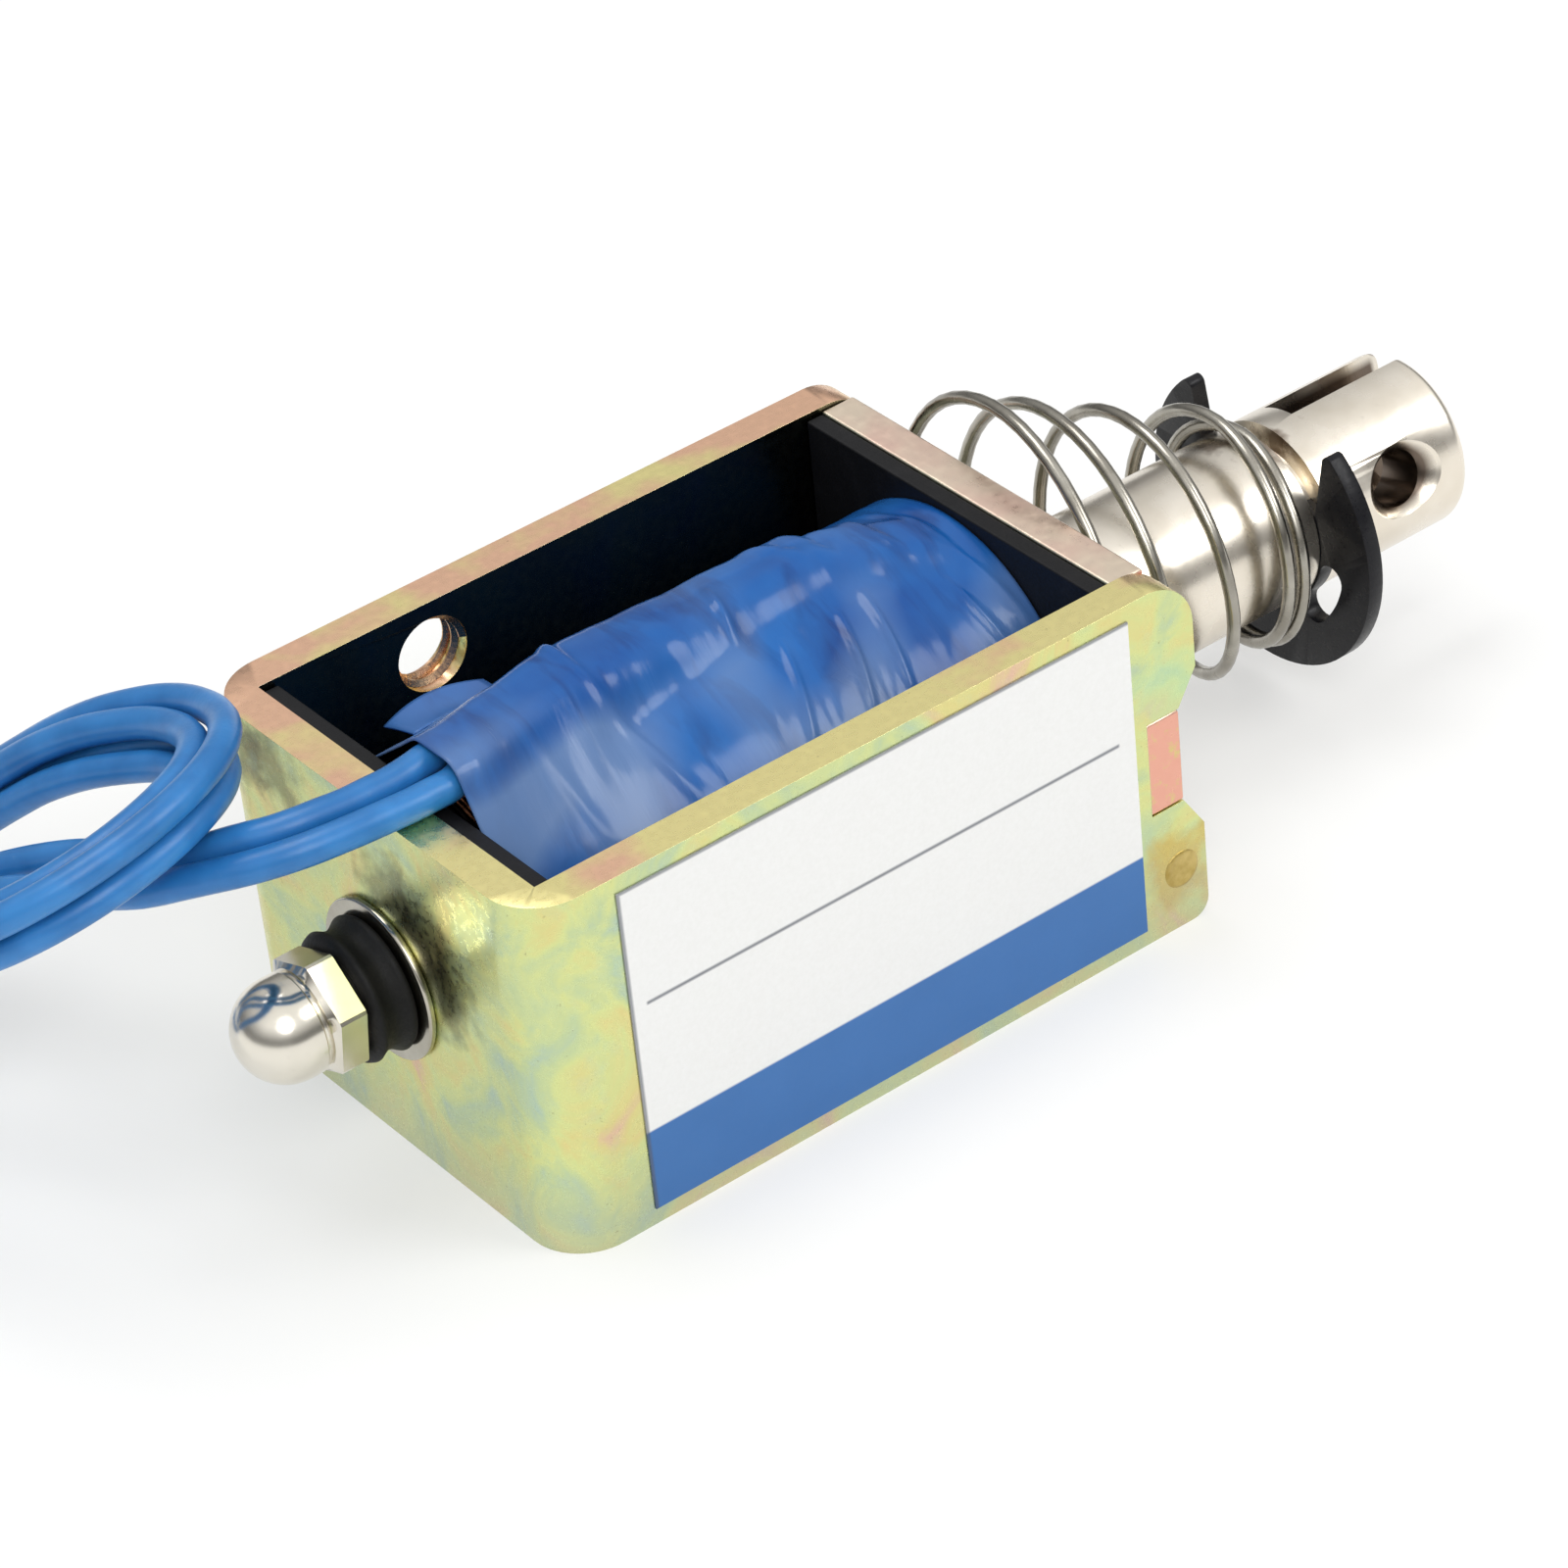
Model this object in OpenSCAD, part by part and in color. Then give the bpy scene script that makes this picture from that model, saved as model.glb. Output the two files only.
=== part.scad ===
// Open-frame push-pull solenoid: a coil in a bent steel yoke, with a spring-returned plunger.
// +X runs from the dome nut to the clevis, +Z is up and the label is on the -Y side.
// The origin lies under the middle of the solenoid, on the surface that it stands on.

/* [Frame] */
// Length of the yoke, from the back wall's outer face to the tips of its ears
frame_len = 39; // [37:0.5:60]
// Width across the yoke's side walls
frame_w = 26; // [24.5:0.5:34]
// Height of the yoke
frame_h = 20; // [19.6:0.2:30]
// Thickness of the yoke's steel
steel_t = 2; // [1.5:0.1:2.4]
// Outer radius of the yoke's two bends
bend_r = 3; // [2.5:0.1:4]
// Length of the ears past the front plate
ear_reach = 1.2; // [0.4:0.1:2]
// Radius of the ears' upper corners
ear_top_r = 2.8; // [1:0.1:4]
// Radius of the ears' lower corners
ear_low_r = 1; // [0.5:0.1:2]
// Height of the notch that takes the front plate's tab
notch_h = 5.4; // [4:0.1:7]
// How far each side of the notch flares at its mouth
notch_flare = 1.95; // [0:0.05:3]
// Radius of the two tapped mounting holes in the +Y wall
mount_hole_r = 2; // [1:0.1:2.5]
// Distance of the rear mounting hole from the back wall's outer face
mount_hole_back = 11.7; // [8:0.1:14]
// Distance between the mounting holes along the yoke
mount_hole_gap = 16.2; // [10:0.1:20]
// Distance of each mounting hole from the wall's nearer edge
mount_hole_edge = 2.9; // [2.6:0.1:4]

/* [Front plate] */
// Thickness of the front plate
plate_t = 2; // [1.5:0.1:3]
// Distance of the plate's edges below and above the yoke's edges
plate_inset = 0.2; // [0:0.1:1]

/* [Coil] */
// Thickness of the bobbin's flanges
flange_t = 1; // [0.6:0.1:1.5]
// Distance of the flanges' edges from the yoke's edges
flange_inset = 0.3; // [0:0.1:1]
// Wall of the bobbin's barrel
barrel_wall = 0.8; // [0.5:0.1:1.2]
// Thickness of the film between the barrel and the winding
film_t = 0.1; // [0.05:0.05:0.3]
// Outer radius of the winding
winding_r = 9; // [8:0.1:9.1]
// Thickness of the tape round the winding
tape_t = 0.28; // [0.1:0.02:0.3]
// Bare stretch between the rear flange and the tape
tape_inset = 0.85; // [0.1:0.05:2]
// Wall of the lead tape over the splice sleeves
ridge_wall = 0.35; // [0.2:0.05:0.5]
// Radius of the splice sleeves
sleeve_r = 0.9; // [0.82:0.02:0.92]
// Radius of the winding's two tails
tail_r = 0.2; // [0.1:0.05:0.3]

/* [Core and guide] */
// Length of the fixed core inside the guide tube
core_len = 12; // [8:0.5:14]
// Radius of the core's shank in the back wall
shank_r = 2.5; // [2.2:0.1:3]
// Radius of the riveted head behind the back wall
head_r = 4.2; // [3.8:0.1:5]
// Thickness of the riveted head
head_t = 0.4; // [0.2:0.1:1]
// Thickness of the brass shim on the core's face
shim_t = 0.2; // [0.1:0.05:0.5]
// Wall of the brass guide tube
tube_wall = 0.24; // [0.2:0.02:0.3]

/* [Plunger] */
// Radius of the plunger
plunger_r = 4.7; // [4.2:0.1:4.8]
// Length of the plunger
plunger_len = 40.35; // [36:0.05:46]
// Travel of the plunger
stroke = 10; // [4:0.5:12]
// Turn of the clevis about the plunger's axis, in degrees
clevis_turn = -15; // [-180:5:180]
// Width of the clevis slot
slot_w = 2.2; // [1.5:0.1:3]
// Depth of the clevis slot
slot_depth = 7.6; // [6.5:0.1:8]
// Radius of the cross hole for the clevis pin
pin_hole_r = 1.5; // [1:0.1:1.8]
// Distance of the cross hole from the plunger's end
pin_hole_end = 4.2; // [3:0.1:5]
// Radius of the cross hole's countersunk mouths
pin_mouth_r = 1.95; // [1.85:0.05:2.2]
// Rounding of the plunger's outer edge
plunger_edge_r = 0.6; // [0.2:0.1:1]
// Radius left in the clip's groove
groove_r = 3.5; // [3:0.1:4]
// Distance from the plunger's outer end to the groove
groove_end = 9.3; // [8.5:0.1:11]
// Radius of the push rod
rod_r = 1.5; // [1:0.1:1.8]
// Length of the push rod inside the plunger
rod_grip = 10; // [5:0.5:14]

/* [Clip] */
// Thickness of the clip
clip_t = 0.9; // [0.6:0.1:1.2]
// Outer radius of the clip
clip_r = 8.1; // [7.5:0.1:8.6]
// Width of the clip's mouth at its foot
clip_mouth_w = 8.4; // [8:0.2:9]
// Middle radius of the clip's two windows
window_r = 5.6; // [5.2:0.1:6]
// Half width of the clip's windows
window_half_w = 0.8; // [0.4:0.1:1]
// Rounding of the prongs' tips
clip_tip_r = 0.4; // [0.2:0.1:0.6]

/* [Return spring] */
// Radius of the spring's wire
wire_r = 0.35; // [0.2:0.05:0.4]
// Number of turns
spring_turns = 5.2; // [3.7:0.25:5.2]
// Mean radius of the coil at the front plate
coil_r_plate = 9.6; // [8:0.1:9.8]
// Mean radius of the coil at the clip
coil_r_clip = 5.63; // [5.6:0.01:6]

/* [Dome nut and washer] */
// Radius of the rubber washer
washer_r = 3.5; // [3.3:0.1:4.2]
// Thickness of the rubber washer
washer_t = 2.15; // [1:0.05:3]
// Size of the nut across its flats
nut_flats = 5.5; // [5:0.1:7]
// Height of the nut's hexagon
nut_hex_t = 2; // [1.5:0.1:3]
// Radius of the nut's dome
dome_r = 2.6; // [2.2:0.1:2.7]
// Straight stretch between the hexagon and the dome
dome_skirt = 1; // [0.4:0.1:2]
// Radius of the groove between the hexagon and the dome
nut_groove_r = 2.4; // [2.1:0.1:2.6]

/* [Label] */
// Length of the label
label_len = 30.1; // [20:0.1:31]
// Height of the label
label_h = 18.2; // [12:0.2:19]
// Distance of the label from the back wall's outer face
label_back = 4.9; // [4.2:0.1:6]
// Thickness of the label
label_t = 0.08; // [0.05:0.01:0.2]

/* [Leads] */
// Radius of each lead's insulation
lead_r = 0.8; // [0.6:0.05:0.85]
// Distance from the back wall's outer face to where the leads leave the tape
lead_exit = 4.2; // [4.2:0.1:4.6]
// Radius of the leads' tinned ends
tip_r = 0.45; // [0.3:0.05:0.6]
// Length of the leads' tinned ends
tip_len = 5; // [3:0.5:8]
// Straight run of the hank of spare lead
hank_run = 25; // [23:0.5:25]
// Outer radius of the hank's round ends
hank_r = 10.4; // [9.8:0.1:10.4]
// Inner radius of the hank's round ends
hank_hole_r = 4; // [3:0.1:5]
// Thickness of the hank
hank_t = 3.4; // [3.2:0.1:3.6]
// Width of the tie round the hank
tie_w = 2.4; // [1:0.1:5]
// Thickness of the tie
tie_t = 0.5; // [0.3:0.1:1]

/* [Fits] */
// Gap between pieces that are pressed, screwed or slipped together
fit = 0.02; // [0.01:0.01:0.04]
// Radial gap round the sliding plunger
plunger_fit = 0.06; // [0.03:0.01:0.08]
// Radial gap round the sliding push rod
rod_fit = 0.08; // [0.04:0.01:0.1]
// Gap left at each end of the plunger's travel
stop_gap = 0.05; // [0.02:0.01:0.1]
// Gap between the spring's wire and its seats
seat_gap = 0.05; // [0.02:0.01:0.1]

/* [Hidden] */
$fn = 64;

// Places along X, measured from the back wall's outer face.
nut_reach = head_t + stop_gap + washer_t + nut_hex_t + dome_skirt + dome_r;
core_reach = steel_t + core_len;
plunger_reach = core_reach + shim_t + stop_gap + stroke + plunger_len;

// Places along X in the part's own frame.
x_back = (nut_reach - plunger_reach) / 2;
x_inner = x_back + steel_t;
x_ears = x_back + frame_len;
x_plate_front = x_ears - ear_reach;
x_plate_rear = x_plate_front - plate_t;
x_flange_rear = x_inner + flange_t + fit;
x_flange_front = x_plate_rear - flange_t - fit;
x_tape = x_flange_rear + tape_inset;
x_core_face = x_back + core_reach;
x_plunger_in = x_core_face + shim_t + stop_gap + stroke;
x_plunger_out = x_plunger_in + plunger_len;
x_slot = x_plunger_out - slot_depth;
x_pin = x_plunger_out - pin_hole_end;
x_clip_front = x_plunger_out - groove_end - stop_gap;
x_clip_rear = x_clip_front - clip_t;
x_washer = x_back - head_t - stop_gap;
x_nut = x_washer - washer_t;
x_dome = x_nut - nut_hex_t - dome_skirt;
x_lead_exit = x_back + lead_exit;

axis_z = frame_h / 2;
half_inner_w = frame_w / 2 - steel_t;
tube_r_in = plunger_r + plunger_fit;
tube_r_out = tube_r_in + tube_wall;
barrel_r_in = tube_r_out + fit;
barrel_r = barrel_r_in + barrel_wall;
film_r = barrel_r + fit + film_t;
tape_r_in = winding_r + fit;
tape_r = tape_r_in + tape_t;
core_bore_r = rod_r + rod_fit;
thread_r = rod_r + fit;
clip_bore_r = groove_r + stop_gap;
nut_corner_r = nut_flats / 2 / cos(30);
nut_turn = 39.5;
overcut = 1;

// The clip's rim lies a little off the plunger's axis, towards -Y and down.
clip_shift = [-0.2, -0.25];
clip_window_mid = 120;
clip_window_half = 14;
clip_mouth_foot = 2.1;
clip_mouth_flare = 0.19;

// The spring's free turns widen in pitch towards the clip, where the last turns close up.
spring_first = 1.14;
spring_pitch = 3.668;
spring_pitch_growth = 0.172;
spring_start = -0.5;
spring_steps = 22;
spring_open_turns = 4;
spring_lean_side = 0.17;
spring_lean_up = 0.056;
spring_shift_plate = [0.67, 2.81];
spring_shift_clip = [-0.12, -0.45];
spring_free_gap = 16.5;
spring_scale = (x_clip_rear - x_plate_front) / spring_free_gap;

// Middles of the two splice sleeves, from the lead's exit to where the tail starts.
sleeve_a_start = [x_lead_exit + 0.2, -0.9, axis_z + 11.2];
sleeve_a_end = [x_lead_exit + 7.8, 1.3, axis_z + 10.55];
sleeve_b_start = [x_lead_exit + 0.2, -2.8, axis_z + 10.9];
sleeve_b_end = [x_lead_exit + 7.8, -0.7, axis_z + 10.5];
tail_run = 4;

// Crest of the taped ridge after the sleeves: pairs of points and the ridge's radius there.
ridge_mid = [x_lead_exit + 15.8, 2.5, 0.2, axis_z + 9.8, 1];
ridge_far = [x_lead_exit + 22.8, 2.6, 0.8, axis_z + 9.6, 1];
ridge_end = [x_lead_exit + 28, 0.4, -1.6, axis_z + 9.1, 0.8];

// Routes of the two leads: over the back wall's upper edge, under the hank's upper fold.
lead_start = [x_back + lead_exit - 4.2, 0, axis_z];
lead_a_route = [for (p = [[4, -0.9, 11.2], [3.3, -1, 11.2], [2.2, -1.1, 11.1], [1.1, -1.1, 11],
    [0, -1, 10.95], [-1.2, -0.9, 10.9], [-2.4, -0.7, 10.9], [-3.5, -0.4, 10.8], [-4.5, 0.1, 10.6],
    [-5.3, 0.7, 10.4], [-6, 1.4, 10.1], [-6.7, 2.2, 9.7], [-7.3, 3, 9.3], [-7.9, 4, 8.9],
    [-8.4, 5, 8.5]]) lead_start + p];
lead_b_route = [for (p = [[4, -2.8, 10.9], [3.2, -3, 10.85], [2.1, -3, 10.85], [1, -3, 10.85],
    [-0.2, -2.9, 10.85], [-1.4, -2.8, 10.85], [-2.6, -2.6, 10.8], [-3.8, -2.3, 10.7],
    [-4.9, -1.8, 10.5], [-5.9, -1.1, 10.2], [-6.9, -0.3, 9.9], [-7.8, 0.7, 9.5],
    [-8.7, 1.7, 9.1], [-9.5, 2.8, 8.6], [-10.2, 3.9, 8.2]]) lead_start + p];
lead_end_a_route = [for (p = [[-19.5, 37.7, 1.4], [-17.6, 38.2, 1.1], [-15.7, 38.7, 0.92],
    [-13.7, 39.3, 0.84], [-11.8, 39.9, 0.82], [-9.9, 40.6, 0.82], [-8, 41.3, 0.82]])
    p + [x_back, 0, 0]];
lead_end_b_route = [for (p = [[-19.8, 38.5, 2.9], [-18, 39.3, 2.6], [-16.1, 40.1, 2.1],
    [-14.2, 40.9, 1.5], [-12.3, 41.8, 1.05], [-10.4, 42.6, 0.86], [-8.5, 43.4, 0.82]])
    p + [x_back, 0, 0]];

// The hank leans on the back wall's far corner, with its lower end just above the ground.
hank_place = [x_back - 10.8, 8.8, 18.6];
hank_slope = [0, 28.4, 113.6];
tie_place = 17;

function unit(v) = v / norm(v);
function last(list) = list[len(list) - 1];

// Stands its child on the solenoid's axis, along +X.
module along_x(x) {
    translate([x, 0, axis_z]) rotate([0, 90, 0]) children();
}

module rod_x(x0, x1, r) {
    along_x(x0) cylinder(h = x1 - x0, r = r);
}

module tube_x(x0, x1, r_out, r_in) {
    difference() {
        rod_x(x0, x1, r_out);
        rod_x(x0 - overcut, x1 + overcut, r_in);
    }
}

// A flat piece across the axis: its child is drawn with Y to the right and Z up.
module slab_x(x0, x1) {
    translate([x0, 0, axis_z]) rotate([90, 0, 90]) linear_extrude(x1 - x0) children();
}

// Extrudes a side view, drawn in X and Z, through the full width.
module through_y(width) {
    rotate([90, 0, 0]) linear_extrude(width, center = true) children();
}

module rod_between(p, q, r) {
    v = q - p;
    translate(p) rotate([0, acos(v.z / norm(v)), atan2(v.y, v.x)]) cylinder(h = norm(v), r = r);
}

// A round wire along a path; seam is a direction that the path never follows.
module sweep(path, r, sides, seam) {
    n = len(path);
    rings = [for (i = [0:n - 1])
        let (t = unit(path[min(i + 1, n - 1)] - path[max(i - 1, 0)]),
            side = unit(cross(seam, t)), up = cross(t, side))
        for (k = [0:sides - 1])
            path[i] + r * (cos(360 * k / sides) * side + sin(360 * k / sides) * up)];
    walls = [for (i = [0:n - 2], k = [0:sides - 1])
        let (a = i * sides + k, b = i * sides + (k + 1) % sides)
        [a, a + sides, b + sides, b]];
    polyhedron(rings, concat(walls, [[for (k = [0:sides - 1]) k],
        [for (k = [sides - 1:-1:0]) (n - 1) * sides + k]]));
}

module frame_yoke() {
    color("khaki") difference() {
        linear_extrude(frame_h) yoke_outline();
        through_y(frame_w + 2 * overcut) {
            tab_notch();
            ear_corner(frame_h, -1, ear_top_r);
            ear_corner(0, 1, ear_low_r);
        }
        rod_x(x_back - overcut, x_inner + overcut, shank_r + fit);
        mount_holes();
    }
}

module yoke_outline() {
    difference() {
        union() {
            translate([x_back + bend_r, -frame_w / 2]) square([frame_len - bend_r, frame_w]);
            translate([x_back, bend_r - frame_w / 2])
                square([2 * bend_r, frame_w - 2 * bend_r]);
            for (side = [-1, 1])
                translate([x_back + bend_r, side * (frame_w / 2 - bend_r)]) circle(bend_r);
        }
        translate([x_inner, -half_inner_w]) square([frame_len, 2 * half_inner_w]);
    }
}

module tab_notch() {
    half = notch_h / 2;
    polygon([[x_plate_rear, axis_z - half], [x_plate_front, axis_z - half],
        [x_ears + fit, axis_z - half - notch_flare], [x_ears + fit, axis_z + half + notch_flare],
        [x_plate_front, axis_z + half], [x_plate_rear, axis_z + half]]);
}

module ear_corner(z, up, r) {
    translate([x_ears - r, z + up * r]) difference() {
        translate([0, up > 0 ? -r - overcut : 0]) square(r + overcut);
        circle(r);
    }
}

module mount_holes() {
    for (i = [0, 1])
        translate([x_back + mount_hole_back + i * mount_hole_gap, half_inner_w - overcut,
            i == 0 ? frame_h - mount_hole_edge : mount_hole_edge])
            rotate([-90, 0, 0]) cylinder(h = steel_t + 2 * overcut, r = mount_hole_r);
}

module front_plate() {
    height = frame_h - 2 * plate_inset;
    tab_h = notch_h - 4 * fit;
    color("mistyrose") difference() {
        union() {
            translate([x_plate_rear, fit - half_inner_w, plate_inset])
                cube([plate_t, 2 * (half_inner_w - fit), height]);
            translate([x_plate_rear, -frame_w / 2, axis_z - tab_h / 2])
                cube([plate_t, frame_w, tab_h]);
        }
        rod_x(x_plate_rear - overcut, x_plate_front + overcut, tube_r_out + fit);
    }
}

module bobbin() {
    height = frame_h - 2 * flange_inset;
    half_w = half_inner_w - 5 * fit;
    color("dimgray") difference() {
        union() {
            rod_x(x_inner + fit, x_plate_rear - fit, barrel_r);
            for (x = [x_inner + fit, x_flange_front])
                translate([x, -half_w, flange_inset]) cube([flange_t, 2 * half_w, height]);
        }
        rod_x(x_inner - overcut, x_plate_rear + overcut, barrel_r_in);
    }
}

module barrel_film() {
    color("wheat") tube_x(x_flange_rear + fit, x_flange_front - fit, film_r, barrel_r + fit);
}

module guide_tube() {
    color("goldenrod") tube_x(x_inner + fit, x_plate_front, tube_r_out, tube_r_in);
}

module fixed_core() {
    color("silver") difference() {
        union() {
            rod_x(x_inner, x_core_face, plunger_r);
            rod_x(x_back - head_t, x_core_face, shank_r);
            rod_x(x_back - head_t, x_back, head_r);
        }
        rod_x(x_back - head_t - overcut, x_core_face + overcut, core_bore_r);
    }
}

module core_shim() {
    color("gold") tube_x(x_core_face, x_core_face + shim_t, plunger_r, core_bore_r);
}

module coil_winding() {
    color("chocolate")
        tube_x(x_flange_rear + fit, x_flange_front - fit, winding_r, film_r + fit);
}

// A tail runs from the end of its sleeve down through the tape to the winding.
function tail_start(sleeve_end) = sleeve_end + [tail_r + fit, 0, 0];
function tail_end(sleeve_end) = [sleeve_end.x + tail_run, sleeve_end.y,
    axis_z + sqrt(pow(winding_r, 2) - pow(sleeve_end.y, 2)) + 1.25 * tail_r];

module winding_tail(sleeve_end, r) {
    rod_between(tail_start(sleeve_end), tail_end(sleeve_end), r);
}

module winding_tail_a() {
    color("chocolate") winding_tail(sleeve_a_end, tail_r);
}

module winding_tail_b() {
    color("chocolate") winding_tail(sleeve_b_end, tail_r);
}

module splice_sleeve_a() {
    color("black") rod_between(sleeve_a_start, sleeve_a_end, sleeve_r);
}

module splice_sleeve_b() {
    color("black") rod_between(sleeve_b_start, sleeve_b_end, sleeve_r);
}

module splice_room() {
    rod_between(sleeve_a_start, sleeve_a_end, sleeve_r + fit);
    rod_between(sleeve_b_start, sleeve_b_end, sleeve_r + fit);
    for (sleeve_end = [sleeve_a_end, sleeve_b_end]) tail_room(sleeve_end);
}

// The hole that a tail leaves in the tapes, a little longer than the tail.
module tail_room(sleeve_end) {
    more = (tail_end(sleeve_end) - tail_start(sleeve_end)) / 3;
    rod_between(tail_start(sleeve_end) - more / 4, tail_end(sleeve_end) + more,
        tail_r + 3 * fit);
}

module coil_tape() {
    color("royalblue") difference() {
        tube_x(x_tape, x_flange_front - fit, tape_r, tape_r_in);
        for (sleeve_end = [sleeve_a_end, sleeve_b_end]) tail_room(sleeve_end);
    }
}

module ridge_pair(at) {
    for (y = [at[1], at[2]]) translate([at[0], y, at[3]]) sphere(at[4], $fn = 24);
}

module lead_tape() {
    cover = sleeve_r + ridge_wall;
    color("mediumblue") difference() {
        union() {
            hull() for (p = [sleeve_a_start, sleeve_b_start, sleeve_a_end, sleeve_b_end])
                translate(p) sphere(cover, $fn = 24);
            hull() {
                for (p = [sleeve_a_end, sleeve_b_end]) translate(p) sphere(cover, $fn = 24);
                ridge_pair(ridge_mid);
            }
            hull() {
                ridge_pair(ridge_mid);
                ridge_pair(ridge_far);
            }
            hull() {
                ridge_pair(ridge_far);
                ridge_pair(ridge_end);
            }
        }
        rod_x(x_tape - 10, x_flange_front, tape_r + fit);
        translate([x_lead_exit - 10, -frame_w / 2, axis_z]) cube([10, frame_w, frame_h]);
        splice_room();
    }
}

module plunger() {
    color("silver") difference() {
        union() {
            rod_x(x_plunger_in, x_plunger_out - plunger_edge_r, plunger_r);
            rod_x(x_slot, x_plunger_out, plunger_r - plunger_edge_r);
            along_x(x_plunger_out - plunger_edge_r) rotate_extrude()
                translate([plunger_r - plunger_edge_r, 0]) circle(plunger_edge_r, $fn = 32);
        }
        tube_x(x_clip_rear - stop_gap, x_plunger_out - groove_end, plunger_r + overcut, groove_r);
        rod_x(x_plunger_in - overcut, x_plunger_in + rod_grip + fit, thread_r);
        translate([0, 0, axis_z]) rotate([clevis_turn, 0, 0]) clevis_cuts();
    }
}

module clevis_cuts() {
    mouth_depth = pin_mouth_r - pin_hole_r;
    ear_y = sqrt(pow(plunger_r, 2) - pow(pin_mouth_r, 2));
    translate([x_slot, -slot_w / 2, -frame_h / 2])
        cube([slot_depth + overcut, slot_w, frame_h]);
    translate([x_pin, 0, 0]) rotate([90, 0, 0]) {
        cylinder(h = frame_w, r = pin_hole_r, center = true);
        for (side = [0, 1]) mirror([0, 0, side]) translate([0, 0, ear_y - mouth_depth])
            cylinder(h = 2 * mouth_depth, r1 = pin_hole_r, r2 = pin_hole_r + 2 * mouth_depth);
    }
}

module push_rod() {
    color("lightgray")
        rod_x(x_dome - dome_r / 4, x_plunger_in + rod_grip, rod_r);
}

module e_clip() {
    color("black") difference() {
        slab_x(x_clip_rear, x_clip_front) clip_outline();
        rod_x(x_clip_rear - overcut, x_clip_front + overcut, clip_bore_r);
    }
}

// The clip with its mouth open at the top and its prongs' tips rounded.
module clip_outline() {
    difference() {
        offset(r = clip_tip_r) offset(delta = -clip_tip_r) difference() {
            translate(clip_shift) circle(clip_r, $fn = 96);
            translate(clip_shift) polygon(mouth_points());
        }
        for (side = [-1, 1]) rotate(side * clip_window_mid) polygon(window_points());
    }
}

// The mouth widens evenly from its foot, which lies above the clip's middle.
function mouth_points() = let (half = clip_mouth_w / 2, top = clip_r + overcut,
    wide = half + clip_mouth_flare * (top - clip_mouth_foot))
    [[-half, clip_mouth_foot], [-wide, top], [wide, top], [half, clip_mouth_foot]];

function arc(mid, r, from, to) = [for (i = [0:8])
    let (a = from + (to - from) * i / 8) mid + r * [cos(a), sin(a)]];

// An arc-shaped window with round ends, its middle above the axis.
function window_points() =
    let (low = 90 - clip_window_half, high = 90 + clip_window_half, w = window_half_w)
    concat(arc([0, 0], window_r + w, low, high),
        arc(window_r * [cos(high), sin(high)], w, high + 20, high + 160),
        arc([0, 0], window_r - w, high, low),
        arc(window_r * [cos(low), sin(low)], w, low + 200, low + 340));

function coil_share(t) = min(max(t / spring_open_turns, 0), 1);
function coil_radius(t) = coil_r_plate + (coil_r_clip - coil_r_plate) * coil_share(t);
function coil_shift(t) = spring_shift_plate
    + (spring_shift_clip - spring_shift_plate) * coil_share(t);
// The middle of the wire along X, between the plate's face and the clip's.
function coil_place(t) = min(
    x_plate_front + spring_scale * (spring_first + spring_pitch * t
        + spring_pitch_growth * t * abs(t)),
    x_clip_rear - wire_r - seat_gap
        - 2 * wire_r * max(spring_start + spring_turns - t, 0));
// The turn's lean about its own middle, from the shares of its two directions.
function coil_lean(t, right, up) = coil_radius(t) * (1 - coil_share(t))
    * (spring_lean_side * right + spring_lean_up * up);
function coil_point(t) =
    let (a = 90 + 360 * t, r = coil_radius(t), mid = coil_shift(t))
    [max(x_plate_front + wire_r + seat_gap, coil_place(t) + coil_lean(t, cos(a), sin(a))),
        mid[0] + r * cos(a), axis_z + mid[1] + r * sin(a)];

module return_spring() {
    color("gray") sweep([for (i = [0:spring_turns * spring_steps])
        coil_point(spring_start + i / spring_steps)], wire_r, 8, [1, 0, 0]);
}

module rubber_washer() {
    color("black") tube_x(x_nut, x_washer, washer_r, thread_r);
}

module dome_nut() {
    color("silver") difference() {
        union() {
            along_x(x_nut - nut_hex_t) rotate(nut_turn)
                cylinder(h = nut_hex_t, r = nut_corner_r, $fn = 6);
            rod_x(x_dome, x_nut, nut_groove_r);
            rod_x(x_dome, x_nut - nut_hex_t - dome_skirt / 4, dome_r);
            along_x(x_dome) sphere(dome_r);
        }
        rod_x(x_dome - dome_r / 4 - fit, x_nut + overcut, thread_r);
    }
}

module rating_label() {
    color("white") translate([x_back + label_back, -frame_w / 2 - label_t, axis_z - label_h / 2])
        cube([label_len, label_t, label_h]);
}

module lead(path) {
    color("dodgerblue") sweep(path, lead_r, 8, [0, 0, 1]);
}

module lead_a() {
    lead(lead_a_route);
}

module lead_b() {
    lead(lead_b_route);
}

module lead_end_a() {
    lead(lead_end_a_route);
}

module lead_end_b() {
    lead(lead_end_b_route);
}

module tip(route) {
    end = last(route);
    way = unit(end - route[len(route) - 2]);
    color("silver") rod_between(end, end + tip_len * way, tip_r);
}

module lead_tip_a() {
    tip(lead_end_a_route);
}

module lead_tip_b() {
    tip(lead_end_b_route);
}

module hank_outline(r) {
    translate([0, -r]) square([hank_run, 2 * r]);
    for (x = [0, hank_run]) translate([x, 0]) circle(r);
}

module lead_hank() {
    color("dodgerblue") translate(hank_place) rotate(hank_slope)
        linear_extrude(hank_t, center = true) difference() {
            hank_outline(hank_r);
            hank_outline(hank_hole_r);
        }
}

module hank_tie() {
    inner = [tie_w, 2 * (hank_r + fit), hank_t + 2 * fit];
    color("white") translate(hank_place) rotate(hank_slope) translate([tie_place, 0, 0])
        difference() {
            cube(inner + [0, 2 * tie_t, 2 * tie_t], center = true);
            cube(inner + [2 * overcut, 0, 0], center = true);
        }
}

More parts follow.
